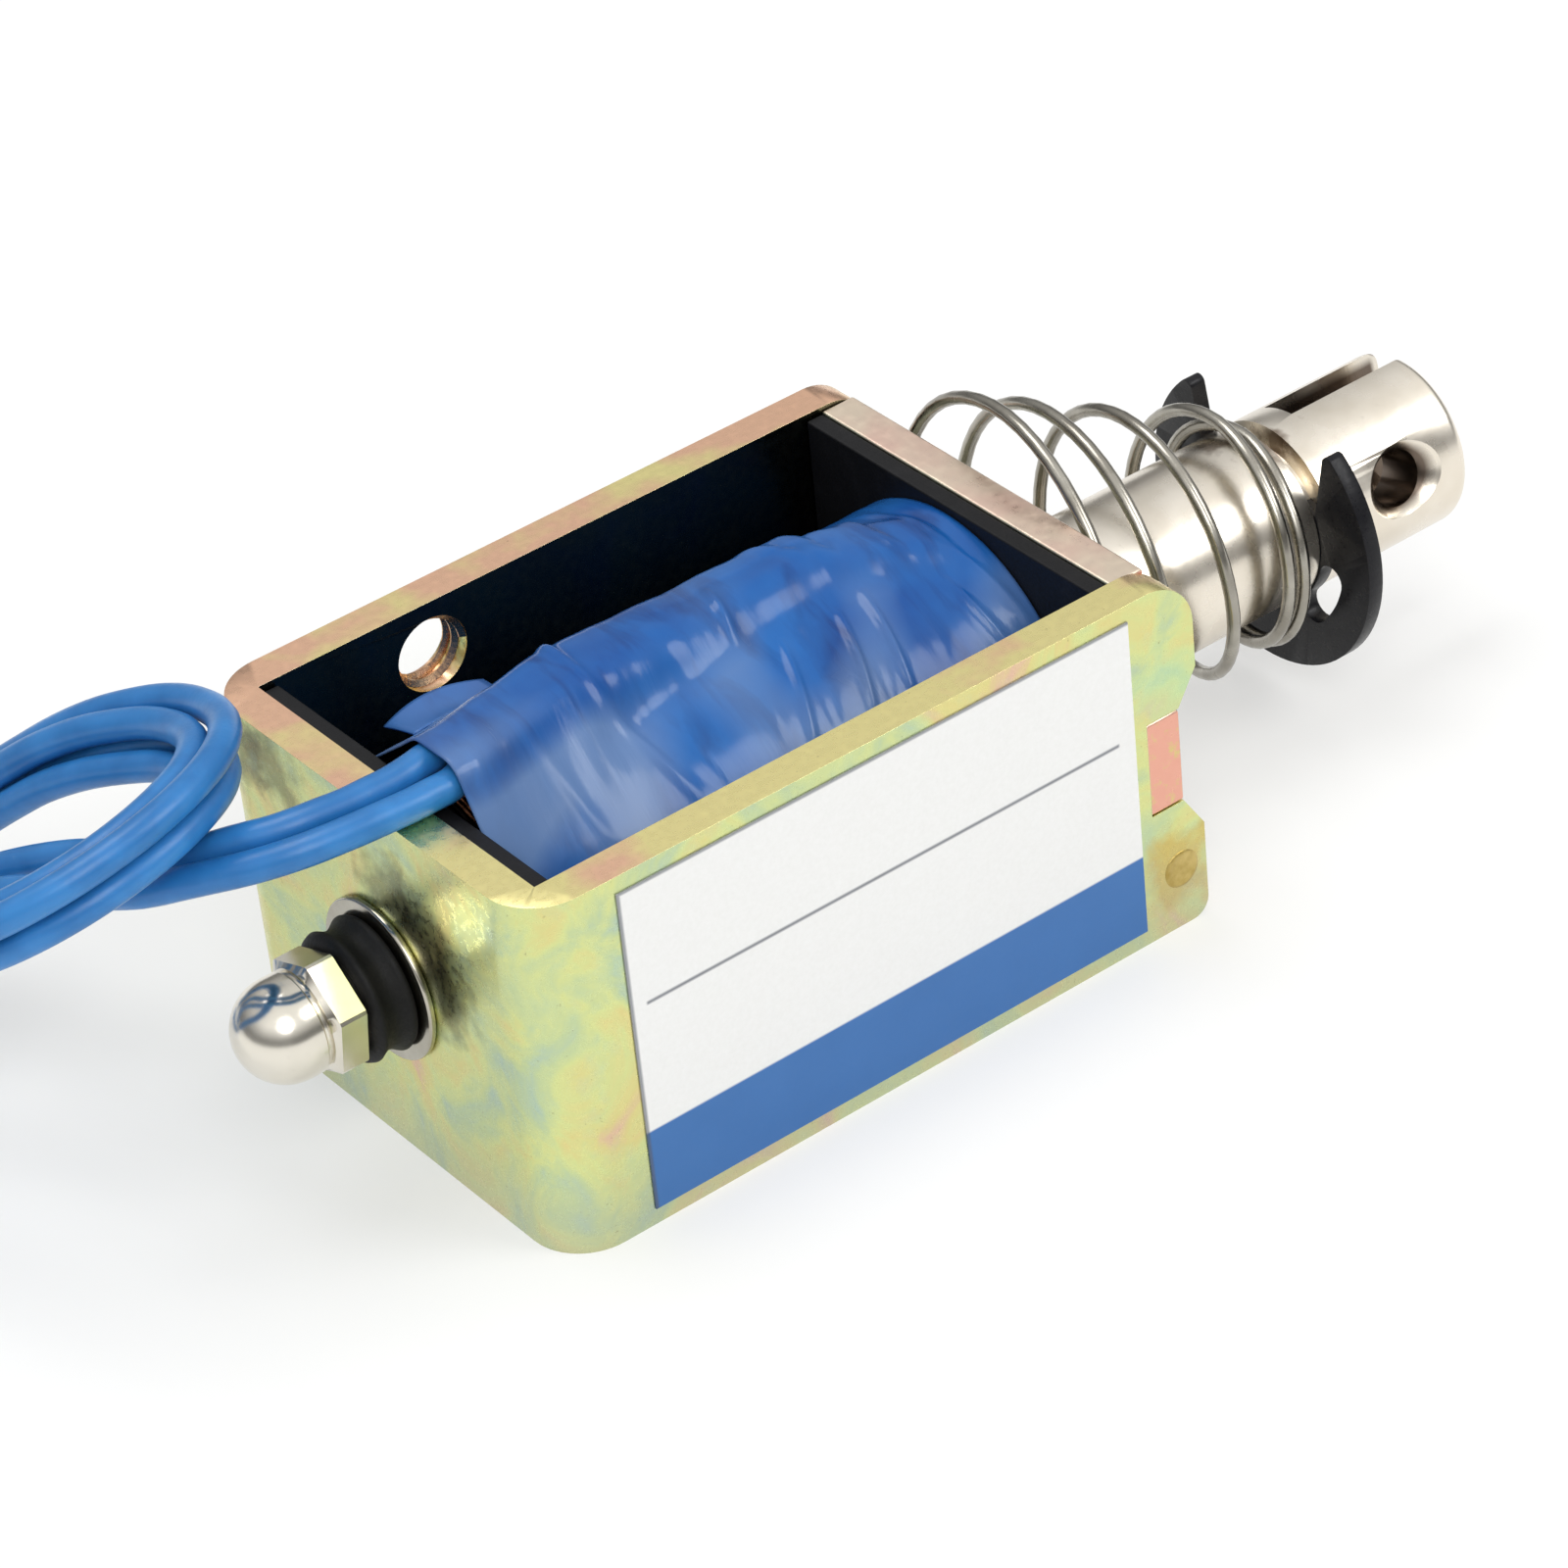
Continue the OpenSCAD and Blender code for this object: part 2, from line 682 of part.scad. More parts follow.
frame_yoke();
front_plate();
bobbin();
barrel_film();
guide_tube();
fixed_core();
core_shim();
coil_winding();
winding_tail_a();
winding_tail_b();
splice_sleeve_a();
splice_sleeve_b();
coil_tape();
lead_tape();
plunger();
push_rod();
e_clip();
return_spring();
rubber_washer();
dome_nut();
rating_label();
lead_a();
lead_b();
lead_hank();
hank_tie();
lead_end_a();
lead_end_b();
lead_tip_a();
lead_tip_b();
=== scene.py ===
import bpy
import math
from mathutils import Matrix, Vector, geometry, noise


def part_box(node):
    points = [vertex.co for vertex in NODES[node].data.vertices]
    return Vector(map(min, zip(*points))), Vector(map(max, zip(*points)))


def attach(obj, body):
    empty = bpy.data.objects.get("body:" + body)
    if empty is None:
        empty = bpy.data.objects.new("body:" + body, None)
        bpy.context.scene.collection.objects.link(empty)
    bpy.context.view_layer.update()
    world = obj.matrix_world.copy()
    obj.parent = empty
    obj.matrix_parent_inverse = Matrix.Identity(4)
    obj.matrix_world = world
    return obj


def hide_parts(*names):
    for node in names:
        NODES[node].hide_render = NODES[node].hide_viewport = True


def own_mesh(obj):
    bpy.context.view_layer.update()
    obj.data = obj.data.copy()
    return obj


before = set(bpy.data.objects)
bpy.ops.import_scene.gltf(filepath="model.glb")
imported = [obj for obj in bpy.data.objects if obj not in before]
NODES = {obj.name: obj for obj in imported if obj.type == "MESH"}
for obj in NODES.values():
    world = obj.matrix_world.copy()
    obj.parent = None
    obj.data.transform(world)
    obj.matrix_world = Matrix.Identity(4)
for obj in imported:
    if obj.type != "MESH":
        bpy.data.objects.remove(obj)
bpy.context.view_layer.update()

# Sizes are in millimetres, and at() turns them into places in metres: X from the back wall's
# outer face, Y from the middle of the width and Z from the ground.
MM = 0.001
X_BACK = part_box("frame_yoke")[0][0]
AXIS_Z = sum(corner[2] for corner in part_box("frame_yoke")) / 2 / MM
PLATE_FACE = (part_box("front_plate")[1][0] - X_BACK) / MM
CLIP_REAR = (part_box("e_clip")[0][0] - X_BACK) / MM
HALF_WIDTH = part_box("frame_yoke")[1][1] / MM
SHEET = 2

# The camera's place round its target, and its lens.
VIEW_TARGET = (19.5, 0, 12)
VIEW_AZIMUTH = -34.611
VIEW_ELEVATION = 35.54
VIEW_ROLL = -6.142
VIEW_DISTANCE = 289.311
VIEW_OFFSET = (-3.482, 0.802)
VIEW_LENS = 139.05

# The two leads: radius, routes from the tape to the hank and from the hank to their ends.
LEAD_R = 0.8
LEAD_ROUTE_A = [(4, -0.9, 21.2), (3.3, -1, 21.2), (2.2, -1.1, 21.1), (1.1, -1.1, 21),
                (0, -1, 20.95), (-1.2, -0.9, 20.9), (-2.4, -0.7, 20.9), (-3.5, -0.4, 20.8),
                (-4.5, 0.1, 20.6), (-5.3, 0.7, 20.4), (-6, 1.4, 20.1), (-6.7, 2.2, 19.7),
                (-7.3, 3, 19.3), (-7.9, 4, 18.9), (-8.4, 5, 18.5)]
LEAD_ROUTE_B = [(4, -2.8, 20.9), (3.2, -3, 20.85), (2.1, -3, 20.85), (1, -3, 20.85),
                (-0.2, -2.9, 20.85), (-1.4, -2.8, 20.85), (-2.6, -2.6, 20.8),
                (-3.8, -2.3, 20.7), (-4.9, -1.8, 20.5), (-5.9, -1.1, 20.2),
                (-6.9, -0.3, 19.9), (-7.8, 0.7, 19.5), (-8.7, 1.7, 19.1), (-9.5, 2.8, 18.6),
                (-10.2, 3.9, 18.2)]
LEAD_END_A = [(-19.5, 37.7, 1.4), (-17.6, 38.2, 1.1), (-15.7, 38.7, 0.92),
              (-13.7, 39.3, 0.84), (-11.8, 39.9, 0.82), (-9.9, 40.6, 0.82), (-8, 41.3, 0.82)]
LEAD_END_B = [(-19.8, 38.5, 2.9), (-18, 39.3, 2.6), (-16.1, 40.1, 2.1), (-14.2, 40.9, 1.5),
              (-12.3, 41.8, 1.05), (-10.4, 42.6, 0.86), (-8.5, 43.4, 0.82)]

# The hank's own frame: a point at its upper fold, its dip and its heading in degrees. Its run goes
# from the upper fold to the lower one, and it rises off its plane as far as its tie.
HANK_PLACE = (-10.8, 8.8, 18.6)
HANK_DIP = 28.4
HANK_HEADING = 113.6
HANK_RUN = 25
HANK_TIED = 16
HANK_RISE = 1.3
# Its two layers, the radii of its folds, and each lead's way in through its middle.
LAYER_A = -0.85
LAYER_B = 0.8
FIRST_LOWER_FOLD = 6.3
FOLD_STEP = 1.65
UPPER_FOLDS_A = (6.7, 8.35)
UPPER_FOLDS_B = (7.7, 9.4)
ENTRY_A = [(-1, -1.5, -1.9), (2, -2, -1.5), (6, -1.9, -1.1), (10, -1, LAYER_A),
           (14, 1, LAYER_A), (18, 3.5, LAYER_A), (22, 5.6, LAYER_A)]
ENTRY_B = [(-1, 0.9, -2.3), (2, 0.4, -1.8), (6, 0.3, -1.2), (10, 1, -0.4), (14, 2.7, 0.2),
           (18, 4.5, 0.6), (22, 5.9, LAYER_B)]

# The tape: its radius, its two ends, and where its flank begins to hang free below the sleeves and
# to take a painted reflection.
TAPE_R = 9.3
TAPE_START = 3.2
TAPE_END = 34.74
FLANK_START = 1.3
FLANK_FADE = 1.6
# Where the two sleeves under the tape run, as X, the two Y, the height and the radius.
RIDGE = [(3.2, -0.9, -2.8, 21.05, 1.25), (4.4, -0.9, -2.8, 21.05, 1.25),
         (12, 1.3, -0.7, 20.5, 1.25), (20, 2.5, 0.2, 19.8, 1), (27, 2.6, 0.8, 19.6, 1),
         (32.2, 0.4, -1.6, 19.1, 0.8), (34.8, -0.6, -2.2, 18.2, 0.6)]

# The spring: its wire, then the X and the radius at the top of each turn from plate to clip.
WIRE_R = 0.35
TURN_TOPS = [38.9, 42.1, 46.6, 51.8, 53.2]
TURN_RADII = [9.6, 8.7, 7.35, 6.1, 5.7]
SPRING_START = -0.5
SPRING_TURNS = 5.2
FIRST_PITCH = 3.4
CLOSED_TURNS = 1.2
SEAT_GAP = 0.05
# How far each turn leans in X for its Y and Z, and how far its ends sit off the axis.
SPRING_LEAN = (0.172, 0.056)
SPRING_SHIFT_PLATE = (0.67, 2.81)
SPRING_SHIFT_CLIP = (-0.12, -0.45)

# The dome nut: its hexagon, the groove behind it and its dome.
NUT_FLATS = 5.5
NUT_TURN = 39.5
NUT_HEX = 2
NUT_SKIRT = 1
NUT_DOME_R = 2.6
NUT_GROOVE_R = 2.4
NUT_CHAMFER = 0.28
NUT_BORE = 1.52

# The M4 thread in the far wall's two holes, each given by its X and height.
HOLE_R = 2.0
THREAD_PITCH = 0.7
THREAD_DEPTH = 0.3
THREAD_PLACES = {"thread_rear": (11.7, 17.1), "thread_front": (27.9, 2.9)}


def at(x, y, z):
    """A place in metres from millimetres in the part's own X, Y and Z."""
    return Vector((X_BACK + x * MM, y * MM, z * MM))


def smooth_line(points, steps):
    """A Catmull-Rom curve through the points."""
    points = [Vector(p) for p in points]
    padded = [2 * points[0] - points[1]] + points + [2 * points[-1] - points[-2]]
    line = []
    for p0, p1, p2, p3 in zip(padded, padded[1:], padded[2:], padded[3:]):
        for i in range(steps):
            t = i / steps
            line.append(0.5 * (2 * p1 + (p2 - p0) * t + (2 * p0 - 5 * p1 + 4 * p2 - p3) * t * t
                               + (3 * p1 - p0 - 3 * p2 + p3) * t ** 3))
    return line + [points[-1]]


def between(pairs, x):
    """The value at x on straight lines from one pair of place and value to the next."""
    for (x0, v0), (x1, v1) in zip(pairs, pairs[1:]):
        if x <= x1:
            break
    share = min(max((x - x0) / (x1 - x0), 0), 1)
    return v0 + (v1 - v0) * share


def new_object(name, data, material=None, body="frame"):
    """A piece that rides on a body."""
    piece = bpy.data.objects.new(name, data)
    bpy.context.scene.collection.objects.link(piece)
    if material:
        data.materials.append(material)
    if body:
        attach(piece, body)
    return piece


def new_mesh(name, points, faces, smooth=True):
    """A mesh from points in metres and faces, shaded smooth or flat."""
    mesh = bpy.data.meshes.new(name)
    mesh.from_pydata([tuple(p) for p in points], [], faces)
    mesh.validate()
    mesh.polygons.foreach_set("use_smooth", [smooth] * len(mesh.polygons))
    return mesh


def grid_faces(rows, count, ring=True, closed=False, flip=False):
    """Four-sided faces between rows of points. Each row is a ring or open, and closed joins the
    last row to the first."""
    faces = []
    for i in range(rows if closed else rows - 1):
        near, far = i * count, (i + 1) % rows * count
        for k in range(count if ring else count - 1):
            after = (k + 1) % count
            face = (near + k, near + after, far + after, far + k)
            faces.append(face[:1] + face[:0:-1] if flip else face)
    return faces


def row_face(row, count, flip=False):
    """One face over a whole row of points."""
    corners = tuple(row * count + k for k in range(count))
    return corners[::-1] if flip else corners


def tube_mesh(name, line, radius, sides, seam=Vector((1, 0, 0))):
    """A round rod along a line, with closed ends."""
    points = []
    for i, place in enumerate(line):
        way = (line[min(i + 1, len(line) - 1)] - line[max(i - 1, 0)]).normalized()
        side = seam.cross(way).normalized()
        up = way.cross(side)
        for k in range(sides):
            a = 2 * math.pi * k / sides
            points.append(place + radius * (math.cos(a) * side + math.sin(a) * up))
    faces = grid_faces(len(line), sides)
    faces.append(row_face(0, sides, flip=True))
    faces.append(row_face(len(line) - 1, sides))
    return new_mesh(name, points, faces)


class Paint:
    """A material under construction: its nodes, and the sockets of its shader."""

    def __init__(self, name, **values):
        self.material = bpy.data.materials.new(name)
        self.material.use_nodes = True
        self.tree = self.material.node_tree
        self.shader = self.tree.nodes["Principled BSDF"]
        for socket, value in values.items():
            self.set(self.shader.inputs[socket.replace("_", " ")], value)

    def set(self, socket, value):
        """Links a socket to a node's output, or gives it a number or a colour."""
        if isinstance(value, bpy.types.NodeSocket):
            self.tree.links.new(value, socket)
        elif isinstance(value, tuple) and len(value) == 3 and socket.type == "RGBA":
            socket.default_value = (*value, 1)
        else:
            socket.default_value = value

    def node(self, kind, inputs, output=0, **settings):
        """A new node with its inputs and settings filled in: one of its outputs."""
        made = self.tree.nodes.new(kind)
        for key, value in settings.items():
            setattr(made, key, value)
        for key, value in inputs.items():
            self.set(made.inputs[key], value)
        return made.outputs[output]

    def place(self, scale=(1, 1, 1)):
        """The place on the object in millimetres, stretched by scale."""
        where = self.node("ShaderNodeTexCoord", {}, "Object")
        return self.node("ShaderNodeMapping", {"Vector": where,
                                               "Scale": tuple(s / MM for s in scale)})

    def noise(self, scale, detail=3, rough=0.5, where=None, warp=0):
        """Cloudy noise with that many cycles in a millimetre."""
        return self.node("ShaderNodeTexNoise",
                         {"Vector": where or self.place(), "Scale": scale, "Detail": detail,
                          "Roughness": rough, "Distortion": warp})

    def ramp(self, value, low, high, start=0, end=1):
        """From start to end while value goes from low to high, and level outside them."""
        return self.node("ShaderNodeMapRange",
                         {"Value": value, "From Min": low, "From Max": high, "To Min": start,
                          "To Max": end}, clamp=True)

    def mix(self, share, first, second):
        """The first colour, and the second as far as share goes from 0 to 1."""
        made = self.tree.nodes.new("ShaderNodeMix")
        made.data_type = "RGBA"
        factor, colour_a, colour_b = made.inputs[0], made.inputs[6], made.inputs[7]
        self.set(factor, share)
        self.set(colour_a, first)
        self.set(colour_b, second)
        return made.outputs[2]

    def math(self, how, first, second=0.0):
        """One sum of the math node on its inputs."""
        return self.node("ShaderNodeMath", {0: first, 1: second}, operation=how)

    def colours(self, value, *stops):
        """A colour ramp: each stop is a place and a colour."""
        made = self.tree.nodes.new("ShaderNodeValToRGB")
        self.set(made.inputs[0], value)
        ramp = made.color_ramp.elements
        for extra in stops[2:]:
            ramp.new(extra[0])
        for element, (place, colour) in zip(ramp, stops):
            element.position = place
            element.color = (*colour, 1)
        return made.outputs[0]

    def spot(self, middle, radius, strength):
        """A soft-edged patch of that strength round a place, with a ragged rim."""
        away = self.node("ShaderNodeVectorMath", {0: self.place(), 1: middle}, 1,
                         operation="DISTANCE")
        ragged = self.math("ADD", away, self.ramp(self.noise(0.6, 3), 0.3, 0.7, -1, 1))
        return self.ramp(ragged, radius, radius * 0.4, 0, strength)

    def part(self, vector, axis):
        """One axis of a vector."""
        split = self.tree.nodes.new("ShaderNodeSeparateXYZ")
        self.set(split.inputs[0], vector)
        return split.outputs[axis]

    def facing(self, axis):
        """How far the surface faces along an axis of the object, from -1 to 1."""
        return self.part(self.node("ShaderNodeNewGeometry", {}, "Normal"), axis)

    def bump(self, height, strength, depth):
        """Bump of that depth in millimetres."""
        return self.node("ShaderNodeBump", {"Height": height, "Strength": strength,
                                            "Distance": depth * MM})

    def done(self, **links):
        """The finished material, with what varies over the surface linked to its shader."""
        for socket, value in links.items():
            self.set(self.shader.inputs[socket.replace("_", " ")], value)
        return self.material


def zinc_field(paint):
    """The yoke's faces: rainbow clouds, stains on the ear, painted shadow and reflection of the
    washer, nut and leads on the back wall, greyer below.
    """
    cloud = paint.noise(0.2, 4, 0.55, warp=0.8)
    field = paint.colours(cloud, (0.28, (0.44, 0.58, 0.48)), (0.40, (0.56, 0.66, 0.36)),
                          (0.50, (0.68, 0.73, 0.32)), (0.62, (0.74, 0.66, 0.28)),
                          (0.74, (0.76, 0.50, 0.38)))
    back = X_BACK / MM
    ear = back + PLATE_FACE - 0.6
    green_patch = paint.spot((ear, -HALF_WIDTH, 14), 3.2, 0.35)
    gold_patch = paint.spot((ear, -HALF_WIDTH, 3.6), 3.0, 0.75)
    field = paint.mix(green_patch, field, (0.42, 0.72, 0.48))
    field = paint.mix(gold_patch, field, (0.62, 0.44, 0.12))
    # Painted shadow and reflection: dark patches round the washer and under the leads on the back
    # wall.
    for y, z in ((-1.6, 15.6), (-4.2, 14.4), (-5.2, 11.8), (10.2, 17.6), (7.4, 17.9)):
        painted_shadow_and_reflection = paint.spot((back, y, z), 2.8, 0.6)
        field = paint.mix(painted_shadow_and_reflection, field, (0.10, 0.09, 0.045))
    fleck = paint.ramp(paint.noise(0.5, 4, 0.6), 0.54, 0.75, 0, 0.25)
    field = paint.mix(fleck, field, (0.42, 0.62, 0.52))
    low = paint.ramp(paint.part(paint.place(), 2), 5, 0, 0, 0.45)
    return paint.mix(low, field, (0.42, 0.44, 0.40))


def zinc_edge(paint):
    """The yoke's cut edges: gold on the near side, turning pink towards the far side."""
    far = paint.ramp(paint.part(paint.place(), 1), -12, 8, -0.14, 0.12)
    blush = paint.ramp(paint.math("ADD", paint.noise(0.22, 3), far), 0.42, 0.60)
    return paint.mix(blush, (0.99, 0.88, 0.40), (0.99, 0.62, 0.42))


def inner_shade_mask(paint):
    """How far a place is on the yoke's inner faces, which are painted in shade near black: between
    the walls, and not on an edge.
    """
    inner_face = HALF_WIDTH - SHEET
    back_face = X_BACK / MM + SHEET
    margin = 0.06
    along = paint.part(paint.place(), 0)
    across = paint.math("ABSOLUTE", paint.part(paint.place(), 1))
    between_walls = paint.ramp(across, inner_face + margin, inner_face, 0, 0.93)
    upright = paint.ramp(paint.facing(2), 0.6, 0.3)
    past_back = paint.ramp(along, back_face - margin, back_face)
    return paint.math("MULTIPLY", paint.math("MULTIPLY", between_walls, upright), past_back)


def zinc_steel():
    """Passivated zinc: yellow-green with rainbow clouds, golden and pink on its cut edges, and
    painted shade near black on its inner faces.
    """
    paint = Paint("zinc_steel", Metallic=1.0)
    top = paint.ramp(paint.facing(2), 0.5, 0.95)
    front = paint.ramp(paint.facing(0), 0.6, 0.95)
    skin = paint.mix(paint.math("MAXIMUM", top, front), zinc_field(paint), zinc_edge(paint))
    stain = paint.ramp(paint.noise(2.6, 5, 0.75), 0.64, 0.74, 0, 0.7)
    skin = paint.mix(stain, skin, (0.20, 0.16, 0.08))
    rolled = paint.noise(1.6, 4, 0.6, paint.place((0.25, 1, 1)))
    grain = paint.noise(7, 3, 0.7)
    height = paint.math("ADD", rolled, paint.math("MULTIPLY", grain, 0.4))
    return paint.done(
        # Painted shade: the inner faces between the walls darkened near black.
        Base_Color=paint.mix(inner_shade_mask(paint), skin, (0.020, 0.018, 0.024)),
        Roughness=paint.ramp(paint.noise(2.2, 4), 0.3, 0.7, 0.22, 0.36),
        Normal=paint.bump(height, 0.35, 0.02))


def plate_steel():
    """The front plate's pale zinc, pink on its sawn edges."""
    paint = Paint("plate_steel", Metallic=1.0)
    cloud = paint.ramp(paint.noise(0.25, 3), 0.35, 0.65)
    top = paint.ramp(paint.facing(2), 0.5, 0.95)
    side = paint.ramp(paint.math("ABSOLUTE", paint.facing(1)), 0.6, 0.95)
    field = paint.mix(cloud, (0.66, 0.62, 0.50), (0.58, 0.62, 0.48))
    field = paint.mix(top, field, paint.mix(cloud, (0.97, 0.70, 0.58), (0.98, 0.83, 0.66)))
    fleck = paint.ramp(paint.noise(1.6, 4, 0.7), 0.55, 0.7)
    field = paint.mix(side, field, paint.mix(fleck, (0.82, 0.42, 0.32), (0.72, 0.58, 0.24)))
    brushed = paint.noise(2.5, 4, 0.6, paint.place((1, 0.3, 1)))
    return paint.done(
        Base_Color=field,
        Roughness=paint.ramp(paint.noise(2, 3), 0.3, 0.7, 0.26, 0.4),
        Normal=paint.bump(brushed, 0.3, 0.02))


def lathe_marks(paint):
    """The fine rings that a lathe leaves across X, faint clouds, and specks."""
    rings = paint.noise(1, 4, 0.6, paint.place((14, 0.12, 0.12)))
    cloud = paint.ramp(paint.noise(0.35, 4), 0.35, 0.65)
    speck = paint.ramp(paint.noise(3, 3, 0.7), 0.62, 0.8, 0, 0.25)
    return rings, cloud, speck


def turned_metal(name, low, high, rough):
    """Bright turned metal."""
    paint = Paint(name, Metallic=1.0)
    rings, cloud, speck = lathe_marks(paint)
    return paint.done(
        Base_Color=paint.mix(speck, paint.mix(cloud, low, high), (0.45, 0.41, 0.36)),
        Roughness=paint.ramp(cloud, 0, 1, rough, rough + 0.08),
        Normal=paint.bump(rings, 0.25, 0.01))


def inside_clevis(paint, end, radius):
    """How far a place is in the slot or the cross hole, where the plunger is painted in shade:
    under the round face, short of the end.
    """
    from_axis = paint.node("ShaderNodeVectorMath", {0: paint.place(), 1: (0, 0, AXIS_Z)},
                           operation="SUBTRACT")
    off_axis = paint.node("ShaderNodeVectorMath", {0: from_axis, 1: (0, 1, 1)},
                          operation="MULTIPLY")
    depth = paint.node("ShaderNodeVectorMath", {0: off_axis}, 1, operation="LENGTH")
    along = paint.part(paint.place(), 0)
    under = paint.ramp(depth, radius - 0.15, radius - 0.6)
    past_floor = paint.ramp(along, end - 8.4, end - 7.9)
    short_of_end = paint.ramp(along, end - 0.2, end - 0.5)
    return paint.math("MULTIPLY", paint.math("MULTIPLY", under, past_floor), short_of_end)


def plunger_nickel():
    """Satin nickel, with painted shade inside the clevis, and stained by the clip's groove."""
    paint = Paint("plunger_nickel", Metallic=1.0)
    low, high = (Vector(corner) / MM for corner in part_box("plunger"))
    end = high.x
    radius = (high.z - low.z) / 2
    rings, cloud, speck = lathe_marks(paint)
    tint = paint.mix(cloud, (0.80, 0.73, 0.62), (0.88, 0.82, 0.72))
    tint = paint.mix(speck, tint, (0.45, 0.38, 0.31))
    for back, y in ((9.8, -0.6), (12.4, 0.8)):
        stain = paint.spot((end - back, y, AXIS_Z + radius), 1.5, 0.75)
        tint = paint.mix(stain, tint, (0.16, 0.10, 0.06))
    # Painted shade inside the slot and the cross hole.
    clevis_shade = paint.math("MULTIPLY", inside_clevis(paint, end, radius), 0.9)
    return paint.done(
        Base_Color=paint.mix(clevis_shade, tint, (0.10, 0.065, 0.045)),
        Roughness=paint.ramp(cloud, 0, 1, 0.22, 0.32),
        Normal=paint.bump(rings, 0.25, 0.01))


def spring_steel():
    """Drawn wire, slightly tarnished."""
    paint = Paint("spring_steel", Metallic=1.0)
    cloud = paint.ramp(paint.noise(0.45, 3), 0.35, 0.65)
    drawn = paint.noise(1.2, 2, 0.5)
    return paint.done(
        Base_Color=paint.mix(cloud, (0.30, 0.28, 0.24), (0.42, 0.40, 0.35)),
        Roughness=paint.ramp(drawn, 0.3, 0.7, 0.2, 0.3),
        Normal=paint.bump(drawn, 0.15, 0.01))


def dark_finish(name, colour, pale, rough, fine, depth):
    """A black part: moulded, blackened or rubber, with a dusty bloom and fine grain."""
    paint = Paint(name, Specular_IOR_Level=0.22)
    bloom = paint.ramp(paint.noise(0.6, 4, 0.6), 0.5, 0.85)
    grain = paint.noise(fine, 4, 0.6)
    return paint.done(
        Base_Color=paint.mix(paint.math("MULTIPLY", bloom, 0.5), colour, pale),
        Roughness=paint.ramp(grain, 0.3, 0.7, rough, rough + 0.15),
        Normal=paint.bump(grain, 0.4, depth))


def plain_metal(name, low, high, rough):
    """Metal with a soft cloud of two tints and a fine grain."""
    paint = Paint(name, Metallic=1.0)
    cloud = paint.ramp(paint.noise(0.8, 4, 0.6), 0.35, 0.65)
    grain = paint.noise(6, 3, 0.6)
    return paint.done(
        Base_Color=paint.mix(cloud, low, high),
        Roughness=paint.ramp(grain, 0.3, 0.7, rough, rough + 0.12),
        Normal=paint.bump(grain, 0.25, 0.015))


def copper_winding():
    """Enamelled wire, wound side by side, with painted shade near black on its first turns."""
    paint = Paint("copper", Metallic=1.0)
    wires = paint.node("ShaderNodeTexWave", {"Vector": paint.place(), "Scale": 1.2},
                       wave_type="BANDS", bands_direction="X")
    # Painted shade: the first turns under the tape's end darkened near black.
    shade_end = X_BACK / MM + TAPE_START + 0.8
    first_turns_shade = paint.ramp(paint.part(paint.place(), 0), shade_end + 0.3, shade_end)
    wire = paint.mix(paint.noise(0.8), (0.45, 0.16, 0.07), (0.66, 0.26, 0.12))
    return paint.done(
        Base_Color=paint.mix(first_turns_shade, wire, (0.012, 0.009, 0.008)),
        Roughness=paint.ramp(paint.noise(3), 0.3, 0.7, 0.22, 0.36),
        Normal=paint.bump(wires, 0.8, 0.1))


def blue_tape():
    """Glossy film over a blue adhesive: deep where it sticks, milky where it hangs free, the milky
    colour being partly a painted reflection.
    """
    paint = Paint("blue_tape", Specular_IOR_Level=0.25, Coat_Weight=0.2, Coat_Roughness=0.12,
                  Coat_IOR=1.45)
    slack_and_sheen = paint.node("ShaderNodeAttribute", {}, "Fac", attribute_name="slack_and_sheen")
    along = paint.noise(1, 4, 0.55, paint.place((0.5, 0.14, 0.14)), 0.6)
    patch = paint.ramp(paint.noise(0.16, 3), 0.38, 0.66)
    ripple = paint.noise(1, 3, 0.5, paint.place((1.1, 0.22, 0.22)), 0.4)
    tint = paint.mix(patch, (0.005, 0.070, 0.29), (0.012, 0.120, 0.40))
    tint = paint.mix(paint.ramp(along, 0.52, 0.74, 0, 0.7), tint, (0.002, 0.016, 0.11))
    return paint.done(
        # Milky colour: loose film, and partly a painted reflection.
        Base_Color=paint.mix(slack_and_sheen, tint, (0.130, 0.225, 0.430)),
        Roughness=paint.ramp(along, 0.3, 0.7, 0.16, 0.28),
        Normal=paint.bump(ripple, 0.35, 0.12))


def blue_pvc():
    """The leads' soft insulation, with faint marks of handling."""
    paint = Paint("blue_pvc", Specular_IOR_Level=0.45, Subsurface_Weight=0.08,
                  Subsurface_Scale=0.0006)
    cloud = paint.ramp(paint.noise(0.4, 3), 0.35, 0.65)
    grain = paint.noise(5, 4, 0.6)
    scuff = paint.ramp(paint.noise(1.5, 5, 0.7), 0.66, 0.8)
    tint = paint.mix(cloud, (0.018, 0.150, 0.410), (0.030, 0.200, 0.510))
    return paint.done(
        Base_Color=paint.mix(paint.math("MULTIPLY", scuff, 0.3), tint, (0.16, 0.32, 0.50)),
        Roughness=paint.ramp(grain, 0.3, 0.7, 0.28, 0.42),
        Normal=paint.bump(grain, 0.25, 0.02))


